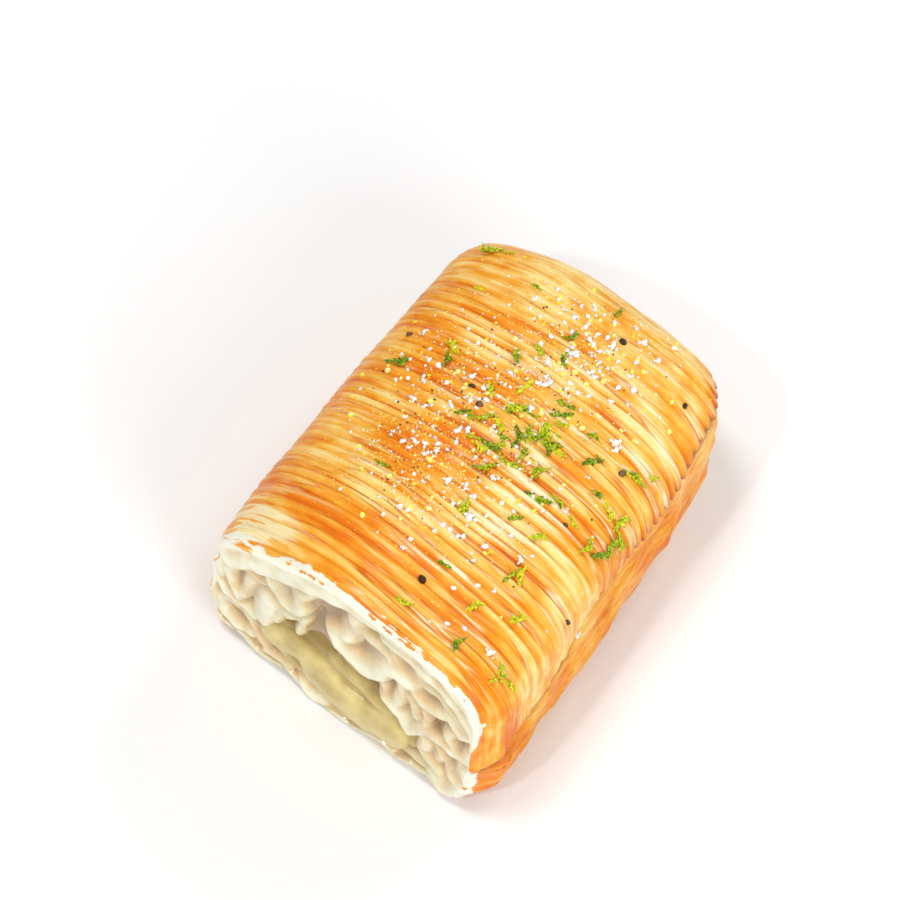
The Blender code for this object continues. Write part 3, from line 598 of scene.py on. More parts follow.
# the lobes of paste on its face, in the same terms as the folds of the dough
pasteLobes = (
    (((-3, 19.4), (4, 17.6), (10, 15.6), (15, 13.2)), 3.2, 2.6, -0.9),
    (((-19.5, 13.2), (-13, 14.8), (-8, 14.2)), 4.8, 4.6, 0.3),
    (((-6.5, 11.4), (-1, 8.8), (6, 8.2), (12.5, 9.8)), 5.4, 6.0, 0.7),
    (((-17, 9.0), (-12.6, 7.4), (-9, 6.6)), 1.8, 2.6, -0.8),
    (((14.5, 12.2), (17.0, 11.8), (18.6, 11.4)), 2.0, 2.2, -1.0),
)
pasteFace = {"floor": -1.9, "foldDrop": 2.4, "blend": 0.9, "wave": 0.30, "wavePitch": 7.0,
             "ripple": 0.15, "ripplePitch": 3.5, "shelfAbove": 20.4, "shelfFade": 2.0, "shelfDrop": 1.3,
             "tone": -0.1, "toneDepth": 2.0}    # the paste is painted darker below this height, in mm: painted shade between its lobes


def lensPoint(angle, scale, grow=0.0):
    rise = np.where(np.sin(angle) > 0, filling["up"], filling["down"])
    upward = np.sign(np.sin(angle)) * np.abs(np.sin(angle)) ** filling["pointed"]
    return (filling["middleX"] + (filling["halfWidth"] * scale + grow) * np.cos(angle),
            filling["middleZ"] + (rise * scale + grow) * upward)


def lensShare(x, z):
    # 0 at the lens's middle, 1 at its edge
    px, pz = x - filling["middleX"], z - filling["middleZ"]
    rise = np.where(pz > 0, filling["up"], filling["down"])
    a, b = np.abs(px) / filling["halfWidth"], np.abs(pz) / rise
    return (a ** 2 + b ** (2 / filling["pointed"])) ** 0.5


def doughHeight(x, z):
    # height of the cut dough over the knife's plane, in mm, for x and z in mm
    face = cutFace
    floor = face["floor"] + face["floorWave"] * wobble(x / face["floorPitch"], z / face["floorPitch"], 2.0)
    for hx, hz, halfWidth, halfHeight, deep in doughHollows:
        spread = ((x - hx) / halfWidth) ** 2 + ((z - hz) / halfHeight) ** 2
        floor = floor - face["deepen"] * deep * np.exp(-spread ** 1.3)
    inPocket = smooth((1.0 - lensShare(x * mm, z * mm)) / face["pocketEdge"])
    floor = floor * (1 - inPocket) - face["pocketDepth"] * inPocket
    height = foldHeight(x, z, doughFolds, floor, face["foldDrop"], face["blend"], face["widen"],
                        face["sheet"])
    wave = wobble(x / face["wavePitch"], z / face["wavePitch"], 6.0)
    return height + face["wave"] * wave * (1 - inPocket)


def doughDetail(piece):
    # refine the cut end, then raise its folds and sink its hollows
    mesh = piece.data
    makeActive(piece)
    bpy.ops.object.mode_set(mode="EDIT")
    bpy.ops.mesh.select_mode(type="EDGE")
    bpy.ops.mesh.select_all(action="DESELECT")
    bpy.ops.object.mode_set(mode="OBJECT")
    cutEdges = {key for polygon in mesh.polygons if polygon.material_index == 1
                for key in polygon.edge_keys}
    mesh.edges.foreach_set("select", [edge.key in cutEdges for edge in mesh.edges])
    bpy.ops.object.mode_set(mode="EDIT")
    bpy.ops.mesh.subdivide(number_cuts=pastryMesh["cutRefine"], quadcorner="INNERVERT")
    bpy.ops.object.mode_set(mode="OBJECT")

    onCut, onCrust = set(), set()
    for polygon in mesh.polygons:
        (onCut if polygon.material_index == 1 else onCrust).update(polygon.vertices)
    inner = np.array(sorted(onCut - onCrust))
    edge = np.array(sorted(onCut & onCrust))
    places = getPlaces(mesh)
    x, z = places[inner, 0] / mm, places[inner, 2] / mm
    rim = places[edge][:, (0, 2)] / mm
    fromRim = np.full(len(inner), np.inf)
    for rimX, rimZ in rim:
        fromRim = np.minimum(fromRim, np.hypot(x - rimX, z - rimZ))
    face = cutFace
    fade = smooth(fromRim / face["edge"])
    height = doughHeight(x, z) * fade
    places[inner, 1] -= height * mm
    places[inner, 2] -= face["droop"] * (height + face["foldDrop"]) * fade * mm
    places[inner, 2] = np.maximum(places[inner, 2], 0.0)
    setPlaces(mesh, places)
    # painted shade: the deeper the dough lies, and the further a fold hangs over it, the darker it is
    # painted
    hollowShade, foldShade = np.zeros(len(mesh.vertices)), np.zeros(len(mesh.vertices))
    hollowShade[inner] = np.clip((-height + face["hollowShadeFrom"]) / face["hollowShadeDepth"], 0, 1)
    overhang = doughHeight(x, z + face["shadeReach"]) * fade - height
    foldShade[inner] = np.clip(overhang / face["foldShadeDepth"], 0, 1)
    mesh.attributes["hollowShade"].data.foreach_set("value", hollowShade.astype(np.float32))
    setAttribute(mesh, "foldShade", foldShade)


def lensBar(name, around, rows, backFrom, grow=0.0, face=None):
    # a bar of the lens's section, closed to a pole at both ends; rows are share of radius and along
    piece, column, row = gridPiece(name, around, len(rows) - 1)
    angle = column / around * 2 * math.pi
    radius, along = (np.array(values)[row] for values in zip(*rows))
    taper = 1 - filling["taper"] * smooth(1 - (filling["end"] - along) / filling["taperLength"])
    x, z = lensPoint(angle, radius * taper, grow * radius)
    back = along.copy()
    if face:
        onFace = row < backFrom
        back[onFace] -= face(x[onFace] / mm, z[onFace] / mm) * mm
    setPlaces(piece.data, inPlace(np.stack([x, back, z], axis=-1)))
    closeSeams(piece)
    return piece


def pasteHeight(x, z):
    face = pasteFace
    wave = wobble(x / face["wavePitch"], z / face["wavePitch"], 21.0)
    shelf = face["shelfDrop"] * smooth((z - face["shelfAbove"]) / face["shelfFade"])
    floor = face["floor"] + face["wave"] * wave - shelf
    height = foldHeight(x, z, pasteLobes, floor, face["foldDrop"], face["blend"])
    ripple = face["ripple"] * wobble(x / face["ripplePitch"], z / face["ripplePitch"], 25.0)
    return height + ripple + filling["setBack"] / mm


def makePastry():
    arc, along, relief, marks = shapeCrust()
    tube, points = crustTube(arc, along, relief, marks)
    order = (np.arange(ringSize) + pastryMesh["firstCorner"]) % ringSize
    cut = endPatch("cutEnd", points[0][order])
    closed = endPatch("closedEnd", points[-1][order], rollForm["endBulge"])
    for piece in (tube, cut, closed):
        piece.data.materials.append(crustGlaze)
        piece.data.materials.append(cutCrumb)
    cut.data.polygons.foreach_set("material_index", [1] * len(cut.data.polygons))
    pastry = joined("ridgedPastry", (tube, cut, closed))
    closeSeams(pastry)
    doughDetail(pastry)
    setPlaces(pastry.data, inPlace(getPlaces(pastry.data)))
    return pastry


def cutPocket(pastry):
    # open the hollow behind the filling along the whole lens
    start, end, room = filling["pocketFrom"], filling["end"], filling["pocketRoom"]
    rings, body = filling["pocketRings"], filling["pocketRows"]
    rows = [(r / rings, start) for r in range(rings + 1)]
    rows += [(1.0, start + (end - start) * t / body) for t in range(1, body + 1)]
    rows += [(1 - r / rings, end + room) for r in range(rings + 1)]
    cutter = lensBar("pocket", filling["around"] // 2, rows, 0, grow=room)
    makeActive(pastry)
    cut = pastry.modifiers.new("pocket", "BOOLEAN")
    cut.operation = "DIFFERENCE"
    cut.solver = "MANIFOLD"
    cut.object = cutter
    bpy.ops.object.modifier_apply(modifier=cut.name)
    bpy.data.objects.remove(cutter)


def makeFilling():
    face, body, end = filling["faceRows"], filling["bodyRows"], filling["endRows"]
    front, length = filling["setBack"], filling["end"] - filling["setBack"]
    rows = [(r / face, front) for r in range(face + 1)]
    rows += [(1.0, front + length * t / body) for t in range(1, body + 1)]
    rows += [(1 - r / end, filling["end"]) for r in range(1, end + 1)]
    piece = lensBar("pasteFilling", filling["around"], rows, face + 1, grow=filling["grow"],
                    face=pasteHeight)
    places = getPlaces(piece.data) - np.array((rollForm["shift"][0], 0, 0))
    height = pasteHeight(places[:, 0] / mm, places[:, 2] / mm) - filling["setBack"] / mm
    hollowShade = (pasteFace["tone"] - height) / pasteFace["toneDepth"]
    setAttribute(piece.data, "hollowShade", np.clip(hollowShade, 0, 1))
    piece.data.materials.append(fillingPaste)
    return piece


def feed(tree, made, values):
    # link or set a node's inputs
    for name, value in values.items():
        if isinstance(value, bpy.types.NodeSocket):
            tree.links.new(value, made.inputs[name])
        else:
            made.inputs[name].default_value = value


def put(tree, kind, values=None, **settings):
    made = tree.nodes.new(kind)
    for name, value in settings.items():
        setattr(made, name, value)
    feed(tree, made, values or {})
    return made


def mathNode(tree, operation, *values):
    return put(tree, "ShaderNodeMath", dict(enumerate(values)), operation=operation).outputs[0]


def mixColor(tree, factor, a, b):
    if isinstance(b, tuple):
        b = (*b, 1.0)
    return put(tree, "ShaderNodeMix", {0: factor, 6: a, 7: b}, data_type="RGBA").outputs[2]


def spread(tree, value, low, high, toLow=0.0, toHigh=1.0):
    return put(tree, "ShaderNodeMapRange", {"Value": value, "From Min": low, "From Max": high,
                                            "To Min": toLow, "To Max": toHigh},
               interpolation_type="SMOOTHSTEP").outputs[0]


def ramp(tree, factor, stops):
    made = put(tree, "ShaderNodeValToRGB", {"Fac": factor})
    elements = made.color_ramp.elements
    while len(elements) < len(stops):
        elements.new(0.5)
    for element, (position, color) in zip(elements, stops):
        element.position = position
        element.color = (*color, 1.0)
    return made.outputs["Color"]


def noiseNode(tree, vector, scale, detail):
    made = put(tree, "ShaderNodeTexNoise", {"Vector": vector, "Scale": scale, "Detail": detail})
    return made.outputs["Fac"]


def attribute(tree, name):
    return put(tree, "ShaderNodeAttribute", attribute_name=name).outputs["Fac"]


def objectPlace(tree):
    return put(tree, "ShaderNodeTexCoord").outputs["Object"]


def newGroup(name, inputs, outputs):
    # each input has its default value, or None for a vector
    group = bpy.data.node_groups.new(name, "ShaderNodeTree")
    for label, value in inputs.items():
        kind = "NodeSocketVector" if value is None else "NodeSocketFloat"
        socket = group.interface.new_socket(name=label, in_out="INPUT", socket_type=kind)
        if value is not None:
            socket.default_value = value
    for label, kind in outputs.items():
        group.interface.new_socket(name=label, in_out="OUTPUT", socket_type=kind)
    return group, group.nodes.new("NodeGroupInput").outputs, group.nodes.new("NodeGroupOutput")


def useGroup(tree, group, values):
    return put(tree, "ShaderNodeGroup", values, node_tree=group).outputs


def makeStreaks():
    # stretched noise between 0 and 1; Across and Along are features per 100 mm
    group, given, out = newGroup(
        "stretchedStreaks",
        {"Vector": None, "Across": 5.0, "Along": 60.0, "Layer": 0.0, "Detail": 2.0, "Low": 0.3,
         "High": 0.7, "Thin": 0.04},
        {"Mask": "NodeSocketFloat", "Line": "NodeSocketFloat"})
    size = put(group, "ShaderNodeCombineXYZ", {"X": given["Across"], "Y": given["Along"], "Z": 1.0})
    scaled = put(group, "ShaderNodeVectorMath", {0: given["Vector"], 1: size.outputs[0]},
                 operation="MULTIPLY")
    lift = put(group, "ShaderNodeCombineXYZ", {"Z": given["Layer"]})
    moved = put(group, "ShaderNodeVectorMath", {0: scaled.outputs[0], 1: lift.outputs[0]},
                operation="ADD")
    grain = put(group, "ShaderNodeTexNoise", {"Vector": moved.outputs[0], "Scale": 1.0,
                                              "Detail": given["Detail"], "Roughness": 0.55}).outputs["Fac"]
    away = mathNode(group, "ABSOLUTE", mathNode(group, "SUBTRACT", grain, 0.5))
    feed(group, out, {"Mask": spread(group, grain, given["Low"], given["High"]),
                      "Line": spread(group, away, given["Thin"], 0.0)})
    return group


crumbLook = {
    # from the pale folds to the peach and khaki hollows: painted shade, darker the deeper the dough lies
    "stops": ((0.00, (0.88, 0.85, 0.64)), (0.14, (0.79, 0.71, 0.44)), (0.38, (0.72, 0.49, 0.21)),
              (0.85, (0.40, 0.23, 0.07))),
    "green": (0.66, 0.61, 0.36), "greenShare": 0.5, "greenLimits": (0.48, 0.68),
    # the colour of the painted shade below the folds
    "foldShadeColor": (0.42, 0.30, 0.11),
    "blotch": (0.60, -0.28),                # how much blotches darken, and what is taken off again
    "blotchScale": 260.0, "greenScale": 90.0, "poreScale": 900.0,
    "foldShade": 0.6, "bump": 0.12, "bumpDistance": 0.0004,
    "shader": {"Roughness": 0.34, "Coat Weight": 1.0, "Coat Roughness": 0.15, "Coat IOR": 1.7,
               "Subsurface Weight": 0.25, "Subsurface Radius": (1.0, 0.75, 0.45),
               "Subsurface Scale": 0.0022},
}


def makeCrumbColor():
    # the dough's colour, with painted shade in its hollows and below its folds, and the height of its
    # pores
    look = crumbLook
    group, given, out = newGroup("crumbColor", {"Vector": None, "HollowShade": 0.0, "FoldShade": 0.0},
                                 {"Color": "NodeSocketColor", "Height": "NodeSocketFloat"})
    place = given["Vector"]
    blotch = noiseNode(group, place, look["blotchScale"], 3.0)
    blotch = mathNode(group, "MULTIPLY_ADD", blotch, *look["blotch"])
    deep = mathNode(group, "ADD", given["HollowShade"], blotch)
    color = ramp(group, deep, look["stops"])
    patches = noiseNode(group, place, look["greenScale"], 1.0)
    green = spread(group, patches, *look["greenLimits"], 0.0, look["greenShare"])
    color = mixColor(group, green, color, look["green"])
    feed(group, out, {"Color": mixColor(group, given["FoldShade"], color, look["foldShadeColor"]),
                      "Height": noiseNode(group, place, look["poreScale"], 4.0)})
    return group


def newMaterial(name):
    material = bpy.data.materials.new(name)
    material.use_nodes = True
    tree = material.node_tree
    return material, tree, tree.nodes["Principled BSDF"]


def finishShader(tree, shader, look, color, height, more=None):
    # the colour, the bump and the values that are the same all over
    bump = put(tree, "ShaderNodeBump", {"Height": height, "Strength": look["bump"],
                                        "Distance": look["bumpDistance"]})
    feed(tree, shader, {"Base Color": color, "Normal": bump.outputs[0], **look["shader"], **(more or {})})


crustLook = {
    "deep": (0.66, 0.110, 0.001), "orange": (0.80, 0.180, 0.004), "amber": (0.88, 0.310, 0.012),
    # the last colour on the next line is the painted highlight on the ridges
    "golden": (0.94, 0.480, 0.065), "pale": (0.98, 0.720, 0.260), "highlightCream": (1.00, 0.920, 0.640),
    # the second colour on the next line is the painted shade along the seam, under the wrap's lip
    "fadedColor": (0.96, 0.85, 0.50), "seamShadeColor": (0.36, 0.085, 0.006),
    "torn": (0.97, 0.95, 0.82), "tornShare": 0.7,           # the bare dough along the torn edge
    # noise: features per 100 mm across and along, its layer, its low and high limit, and detail
    "patterns": {
        "broad": (4.5, 30.0, 0.0, 0.34, 0.66, 2.0), "medium": (5.5, 72.0, 4.0, 0.34, 0.66, 1.5),
        "fine": (14.0, 260.0, 9.0, 0.30, 0.70, 2.0), "patch": (6.0, 9.0, 13.0, 0.38, 0.68, 1.0),
        "mottle": (22.0, 34.0, 61.0, 0.30, 0.70, 2.0), "lengthwise": (60.0, 5.0, 17.0, 0.30, 0.70, 3.0),
        "lengthwiseFine": (210.0, 24.0, 19.0, 0.38, 0.66, 2.0),
        "broken": (4.5, 36.0, 25.0, 0.46, 0.62, 2.0), "brokenPale": (4.5, 40.0, 28.0, 0.45, 0.62, 2.0),
        "fading": (6.0, 80.0, 45.0, 0.38, 0.54, 3.0), "teeth": (40.0, 50.0, 51.0, 0.20, 0.80, 2.0),
        "smears": (12.0, 70.0, 55.0, 0.53, 0.61, 3.0),
    },
    # thin lines: the same without limits, and with their width; the pale lines are painted highlights
    "lines": {"dark": (2.6, 30.0, 21.0, 1.5, 0.045), "pale": (3.0, 40.0, 31.0, 1.5, 0.040)},
    # how much each pattern lightens the wrap and the strip; mottling on the ridges and off them
    "wrapTone": {"broad": 0.24, "medium": 0.19, "fine": 0.09, "patch": 0.26, "crest": 0.19},
    "mottling": (0.12, 0.30),
    "stripTone": {"lengthwise": 0.34, "lengthwiseFine": 0.24, "patch": 0.24}, "stripDarkest": 0.06,
    "thinGroove": 0.55, "darkShare": 0.80, "seamShadeShare": 0.9, "fadedShare": 0.8,
    "highlightLeft": 0.30, "highlightRight": 0.85,    # strength of the painted highlights to both sides of the crown
    "calmer": -0.75,                        # how much the lines fade where the ridges are calm
    # between which values of the crest, the place across or the noise each mark comes in
    "grooveLimits": (-0.70, -0.10), "thinGrooveLimits": (-0.85, -0.45), "topLimits": (0.62, 0.95),
    "sideLimits": (-0.10, 0.15), "smearLimits": (-0.26, -0.14), "fadedLimits": (0.15, 0.50),
    "tearLimits": (-0.15, 0.20), "tearNoise": (1.4, 1.6, -1.5),
    # bump of the coarse and fine streaks, the painted highlights and the dark grooves
    "heights": (0.7, 0.35, 0.5, -0.6),
    "roughness": (0.48, 0.32), "bump": 0.75, "bumpDistance": 0.0005,
    "shader": {"Specular IOR Level": 0.12, "Coat Weight": 0.30, "Coat Roughness": 0.10,
               "Coat IOR": 1.38, "Subsurface Weight": 0.06, "Subsurface Radius": (1.0, 0.45, 0.20),
               "Subsurface Scale": 0.0012},
}


def makeCrustGlaze():
    material, tree, shader = newMaterial("crustGlaze")
    look = crustLook
    uv = put(tree, "ShaderNodeUVMap", uv_map="UVMap").outputs[0]
    acrossUv = put(tree, "ShaderNodeSeparateXYZ", {"Vector": uv}).outputs["X"]
    crest, strip, calm = (attribute(tree, name) for name in ("crest", "strip", "calm"))

    def times(a, b):
        return mathNode(tree, "MULTIPLY", a, b)

    def larger(a, b):
        return mathNode(tree, "MAXIMUM", a, b)

    def scaleAdd(a, share, b):
        return mathNode(tree, "MULTIPLY_ADD", a, share, b)

    def blend(a, b, share):
        return put(tree, "ShaderNodeMix", {0: share, 2: a, 3: b}).outputs[0]

    def streak(across, along, layer, low=0.3, high=0.7, detail=2.0, thin=0.04):
        return useGroup(tree, stretchedStreaks, {
            "Vector": uv, "Across": across, "Along": along, "Layer": layer, "Low": low, "High": high,
            "Detail": detail, "Thin": thin})

    def toned(tone, shares):
        for name, share in shares.items():
            tone = scaleAdd(pattern[name], share, tone)
        return tone

    pattern = {name: streak(*values)["Mask"] for name, values in look["patterns"].items()}
    pattern["crest"] = crest
    darkLines, highlightLines = (
        streak(across, along, layer, detail=detail, thin=thin)["Line"]
        for across, along, layer, detail, thin in (look["lines"]["dark"], look["lines"]["pale"]))

    # base colour
    mottling = times(pattern["mottle"], spread(tree, calm, 0.0, 1.0, *look["mottling"]))
    tone = blend(toned(mottling, look["wrapTone"]), toned(look["stripDarkest"], look["stripTone"]), strip)
    tone = mathNode(tree, "SUBTRACT", tone, attribute(tree, "brown"))
    color = ramp(tree, tone, ((0.10, look["orange"]), (0.34, look["amber"]), (0.58, look["golden"]),
                              (0.86, look["pale"])))

    # dark grooves, and painted highlights on the ridge tops and along thin lines
    wrapOnly = times(mathNode(tree, "SUBTRACT", 1.0, strip), scaleAdd(calm, look["calmer"], 1.0))
    groove = times(spread(tree, crest, *look["grooveLimits"], 1.0, 0.0), pattern["broken"])
    groove = larger(groove, spread(tree, crest, *look["thinGrooveLimits"], look["thinGroove"], 0.0))
    dark = larger(groove, times(darkLines, pattern["broken"]))
    dark = times(dark, times(wrapOnly, look["darkShare"]))
    color = mixColor(tree, dark, color, look["deep"])
    ridgeHighlight = larger(times(spread(tree, crest, *look["topLimits"]), pattern["brokenPale"]),
                   times(highlightLines, pattern["brokenPale"]))
    # the painted highlights are stronger on the seam side of the crown
    seamSide = spread(tree, acrossUv, *look["sideLimits"], look["highlightLeft"], look["highlightRight"])
    ridgeHighlight = times(ridgeHighlight, times(wrapOnly, seamSide))
    color = mixColor(tree, ridgeHighlight, color, look["highlightCream"])

    # the painted shade along the seam, the faded shoulder and the torn edge
    color = mixColor(tree, times(attribute(tree, "seamShade"), look["seamShadeShare"]), color, look["seamShadeColor"])
    faded = spread(tree, times(attribute(tree, "faded"), pattern["fading"]), *look["fadedLimits"])
    color = mixColor(tree, times(faded, look["fadedShare"]), color, look["fadedColor"])
    smears = times(pattern["smears"], spread(tree, acrossUv, *look["smearLimits"], 1.0, 0.0))
    teethShare, mediumShare, offset = look["tearNoise"]
    ragged = scaleAdd(pattern["teeth"], teethShare, scaleAdd(pattern["medium"], mediumShare, offset))
    bare = spread(tree, mathNode(tree, "ADD", attribute(tree, "tear"), ragged), *look["tearLimits"])
    bare = times(bare, mathNode(tree, "SUBTRACT", 1.0, smears))
    raw = useGroup(tree, crumbColor, {"Vector": objectPlace(tree), "HollowShade": 0.0})["Color"]
    color = mixColor(tree, bare, color, mixColor(tree, look["tornShare"], raw, look["torn"]))

    coarseHeight, fineHeight, highlightHeight, darkHeight = look["heights"]
    height = scaleAdd(blend(pattern["medium"], pattern["lengthwise"], strip), coarseHeight,
                      times(blend(pattern["fine"], pattern["lengthwiseFine"], strip), fineHeight))
    height = scaleAdd(ridgeHighlight, highlightHeight, scaleAdd(dark, darkHeight, height))
    rough = spread(tree, pattern["medium"], 0.0, 1.0, *look["roughness"])
    finishShader(tree, shader, look, color, height, {"Roughness": rough})
    return material


def makeCutCrumb():
    material, tree, shader = newMaterial("cutCrumb")
    look = crumbLook
    # painted shade below the folds, on top of the painted shade in the hollows
    foldShade = mathNode(tree, "MULTIPLY", attribute(tree, "foldShade"), look["foldShade"])
    raw = useGroup(tree, crumbColor, {"Vector": objectPlace(tree), "HollowShade": attribute(tree, "hollowShade"),
                                      "FoldShade": foldShade})
    finishShader(tree, shader, look, raw["Color"], raw["Height"])
    return material


pasteLook = {
    "stops": ((0.10, (0.36, 0.24, 0.06)), (0.38, (0.55, 0.41, 0.14)), (0.56, (0.71, 0.57, 0.23)),
              (0.74, (0.81, 0.68, 0.32))),
    "cloudScale": 110.0, "grainScale": 700.0,
    "hollowShade": -0.34,                        # how much darker the paste is painted between its lobes: painted shade
    "bump": 0.06, "bumpDistance": 0.0004,
    "shader": {"Roughness": 0.36, "Coat Weight": 0.22, "Coat Roughness": 0.28,
               "Subsurface Weight": 0.3, "Subsurface Radius": (1.0, 0.8, 0.35),
               "Subsurface Scale": 0.002},
}


def makeFillingPaste():
    material, tree, shader = newMaterial("fillingPaste")
    look, place = pasteLook, objectPlace(tree)
    clouds = noiseNode(tree, place, look["cloudScale"], 3.0)
    # the paste is painted darker in the shade between its lobes
    tone = mathNode(tree, "MULTIPLY_ADD", attribute(tree, "hollowShade"), look["hollowShade"], clouds)
    finishShader(tree, shader, look, ramp(tree, tone, look["stops"]),
                 noiseNode(tree, place, look["grainScale"], 3.0))
    return material


# each kind of grain: its colours from dark to light, roughness, coat, scatter and noise scale
grainLooks = {
    "scallionGreen": (((0.08, (0.055, 0.105, 0.001)), (0.32, (0.180, 0.310, 0.002)),
                       (0.54, (0.420, 0.500, 0.003)), (0.80, (0.840, 0.740, 0.014))),
                      0.40, 0.20, 0.05, 1700.0),
    "saltWhite": (((0.20, (0.86, 0.87, 0.90)), (0.80, (0.97, 0.97, 0.97))), 0.25, 0.3, 0.5, 1500.0),
    "seasoningYellow": (((0.10, (0.84, 0.52, 0.010)), (0.40, (0.94, 0.76, 0.020)),
                         (0.62, (0.97, 0.88, 0.14)), (0.85, (0.99, 0.95, 0.55))),
                        0.45, 0.10, 0.2, 1800.0),
    "pepperDark": (((0.20, (0.025, 0.010, 0.005)), (0.55, (0.090, 0.040, 0.018)),
                    (0.90, (0.260, 0.140, 0.070))), 0.55, 0.1, 0.0, 2400.0),
}


grainFinish = {     # the same for every kind; tint is a grain's own share and what is taken off again
    "noiseShare": 1.6, "tint": (0.5, -0.55), "bump": 0.4, "bumpDistance": 0.0002,
    "shader": {"Specular IOR Level": 0.25, "Subsurface Radius": (1.0, 1.0, 1.0),
               "Subsurface Scale": 0.0006},
}


def makeGrain(name):
    # a grain whose colour runs through the stops by its own tint
    material, tree, shader = newMaterial(name)
    stops, roughness, coat, scatterUnder, scale = grainLooks[name]
    height = noiseNode(tree, objectPlace(tree), scale, 2.0)
    tint = mathNode(tree, "MULTIPLY_ADD", attribute(tree, "tint"), *grainFinish["tint"])
    shade = mathNode(tree, "MULTIPLY_ADD", height, grainFinish["noiseShare"], tint)
    finishShader(tree, shader, grainFinish, ramp(tree, shade, stops), height, {
        "Roughness": roughness, "Coat Weight": coat, "Subsurface Weight": scatterUnder})
    return material


stretchedStreaks = makeStreaks()
crumbColor = makeCrumbColor()
crustGlaze = makeCrustGlaze()
cutCrumb = makeCutCrumb()
fillingPaste = makeFillingPaste()
grainMaterials = {name: makeGrain(name) for name in grainLooks}
print("materials are ready")


# where the crust is darker or paler than elsewhere
browning = {
    # places as arc and y in mm, spread across and along, and how much darker the crust is there
    "zones": ((-17, -30, 12, 6, -0.22), (4, 20, 12, 5, -0.20), (17, -17, 11, 5, -0.22),
              (40, -28, 14, 13, -0.30), (-15, -43, 34, 4, 0.18), (46, -47, 12, 7, 0.30),
              (60, 0, 8, 60, 0.16), (-48, -12, 12, 26, 0.16), (-8, -14, 14, 6, 0.14),
              (0, 46, 60, 12, -0.18), (30, 24, 20, 16, -0.16),
              (-16, 30, 12, 8, -0.14), (-28, 10, 16, 34, 0.05)),
    # how far from the cut the crust is torn back to pale dough: arc and distance in mm
    "torn": ((-160, 3.0), (-70, 3.0), (-62, 1.0), (-54, 0.4), (-46, 1.8), (-38, 2.6), (-30, 2.5),
             (-22, 1.8), (-8, 1.3), (10, 1.2), (22, 1.0), (30, 1.6), (42, 2.2), (46, 1.4), (50, -0.4),
             (56, -0.6), (60, 1.2), (66, 1.0), (76, 3.0), (160, 3.0)),
    "faded": (-34, -50.5, 14, 4.2),         # the pale streaked shoulder: arc, y and spreads
    "tips": 0.30,                           # the ridges' ends over the seam
}


def markCrust(piece):
    # what the crust's colours follow: how far it is torn back, its faded streaks and its browning
    mesh = piece.data
    corners = getCorners(mesh)
    uv = np.empty(len(corners) * 2, dtype=np.float32)
    mesh.uv_layers[0].data.foreach_get("uv", uv)
    sides = [polygon.loop_total for polygon in mesh.polygons]
    isCut = np.repeat([polygon.material_index == 1 for polygon in mesh.polygons], sides)
    arc, along = np.zeros(len(mesh.vertices)), np.zeros(len(mesh.vertices))
    crust = corners[~isCut]
    arc[crust], along[crust] = uv.reshape(-1, 2)[~isCut].T * uvUnit / mm
    setAttribute(mesh, "tear", np.clip(np.interp(arc, *zip(*browning["torn"])) - along, -10, 10))
    y = along - middleAlong / mm
    fadedArc, fadedY, across, length = browning["faded"]
    setAttribute(mesh, "faded", bellCurve(arc, fadedArc, across) * bellCurve(y, fadedY, length))
    brown = sum(share * bellCurve(arc, zoneArc, across) * bellCurve(y, zoneY, length)
                for zoneArc, zoneY, across, length, share in browning["zones"])
    fromSeam = seamArc(along * mm) / mm - arc
    brown = brown + browning["tips"] * bellCurve(fromSeam, 1.0, 3.0) * (1 - seamFront(along * mm))
    setAttribute(mesh, "brown", brown)


pastry = makePastry()
markCrust(pastry)
cutPocket(pastry)
fillingPiece = makeFilling()
for piece in (pastry, fillingPiece):
    smoothShade(piece)
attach(pastry, "root")
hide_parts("pastry")
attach(fillingPiece, "root")
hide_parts("filling")
print("pastry and filling are shaped:", len(pastry.data.polygons), len(fillingPiece.data.polygons))


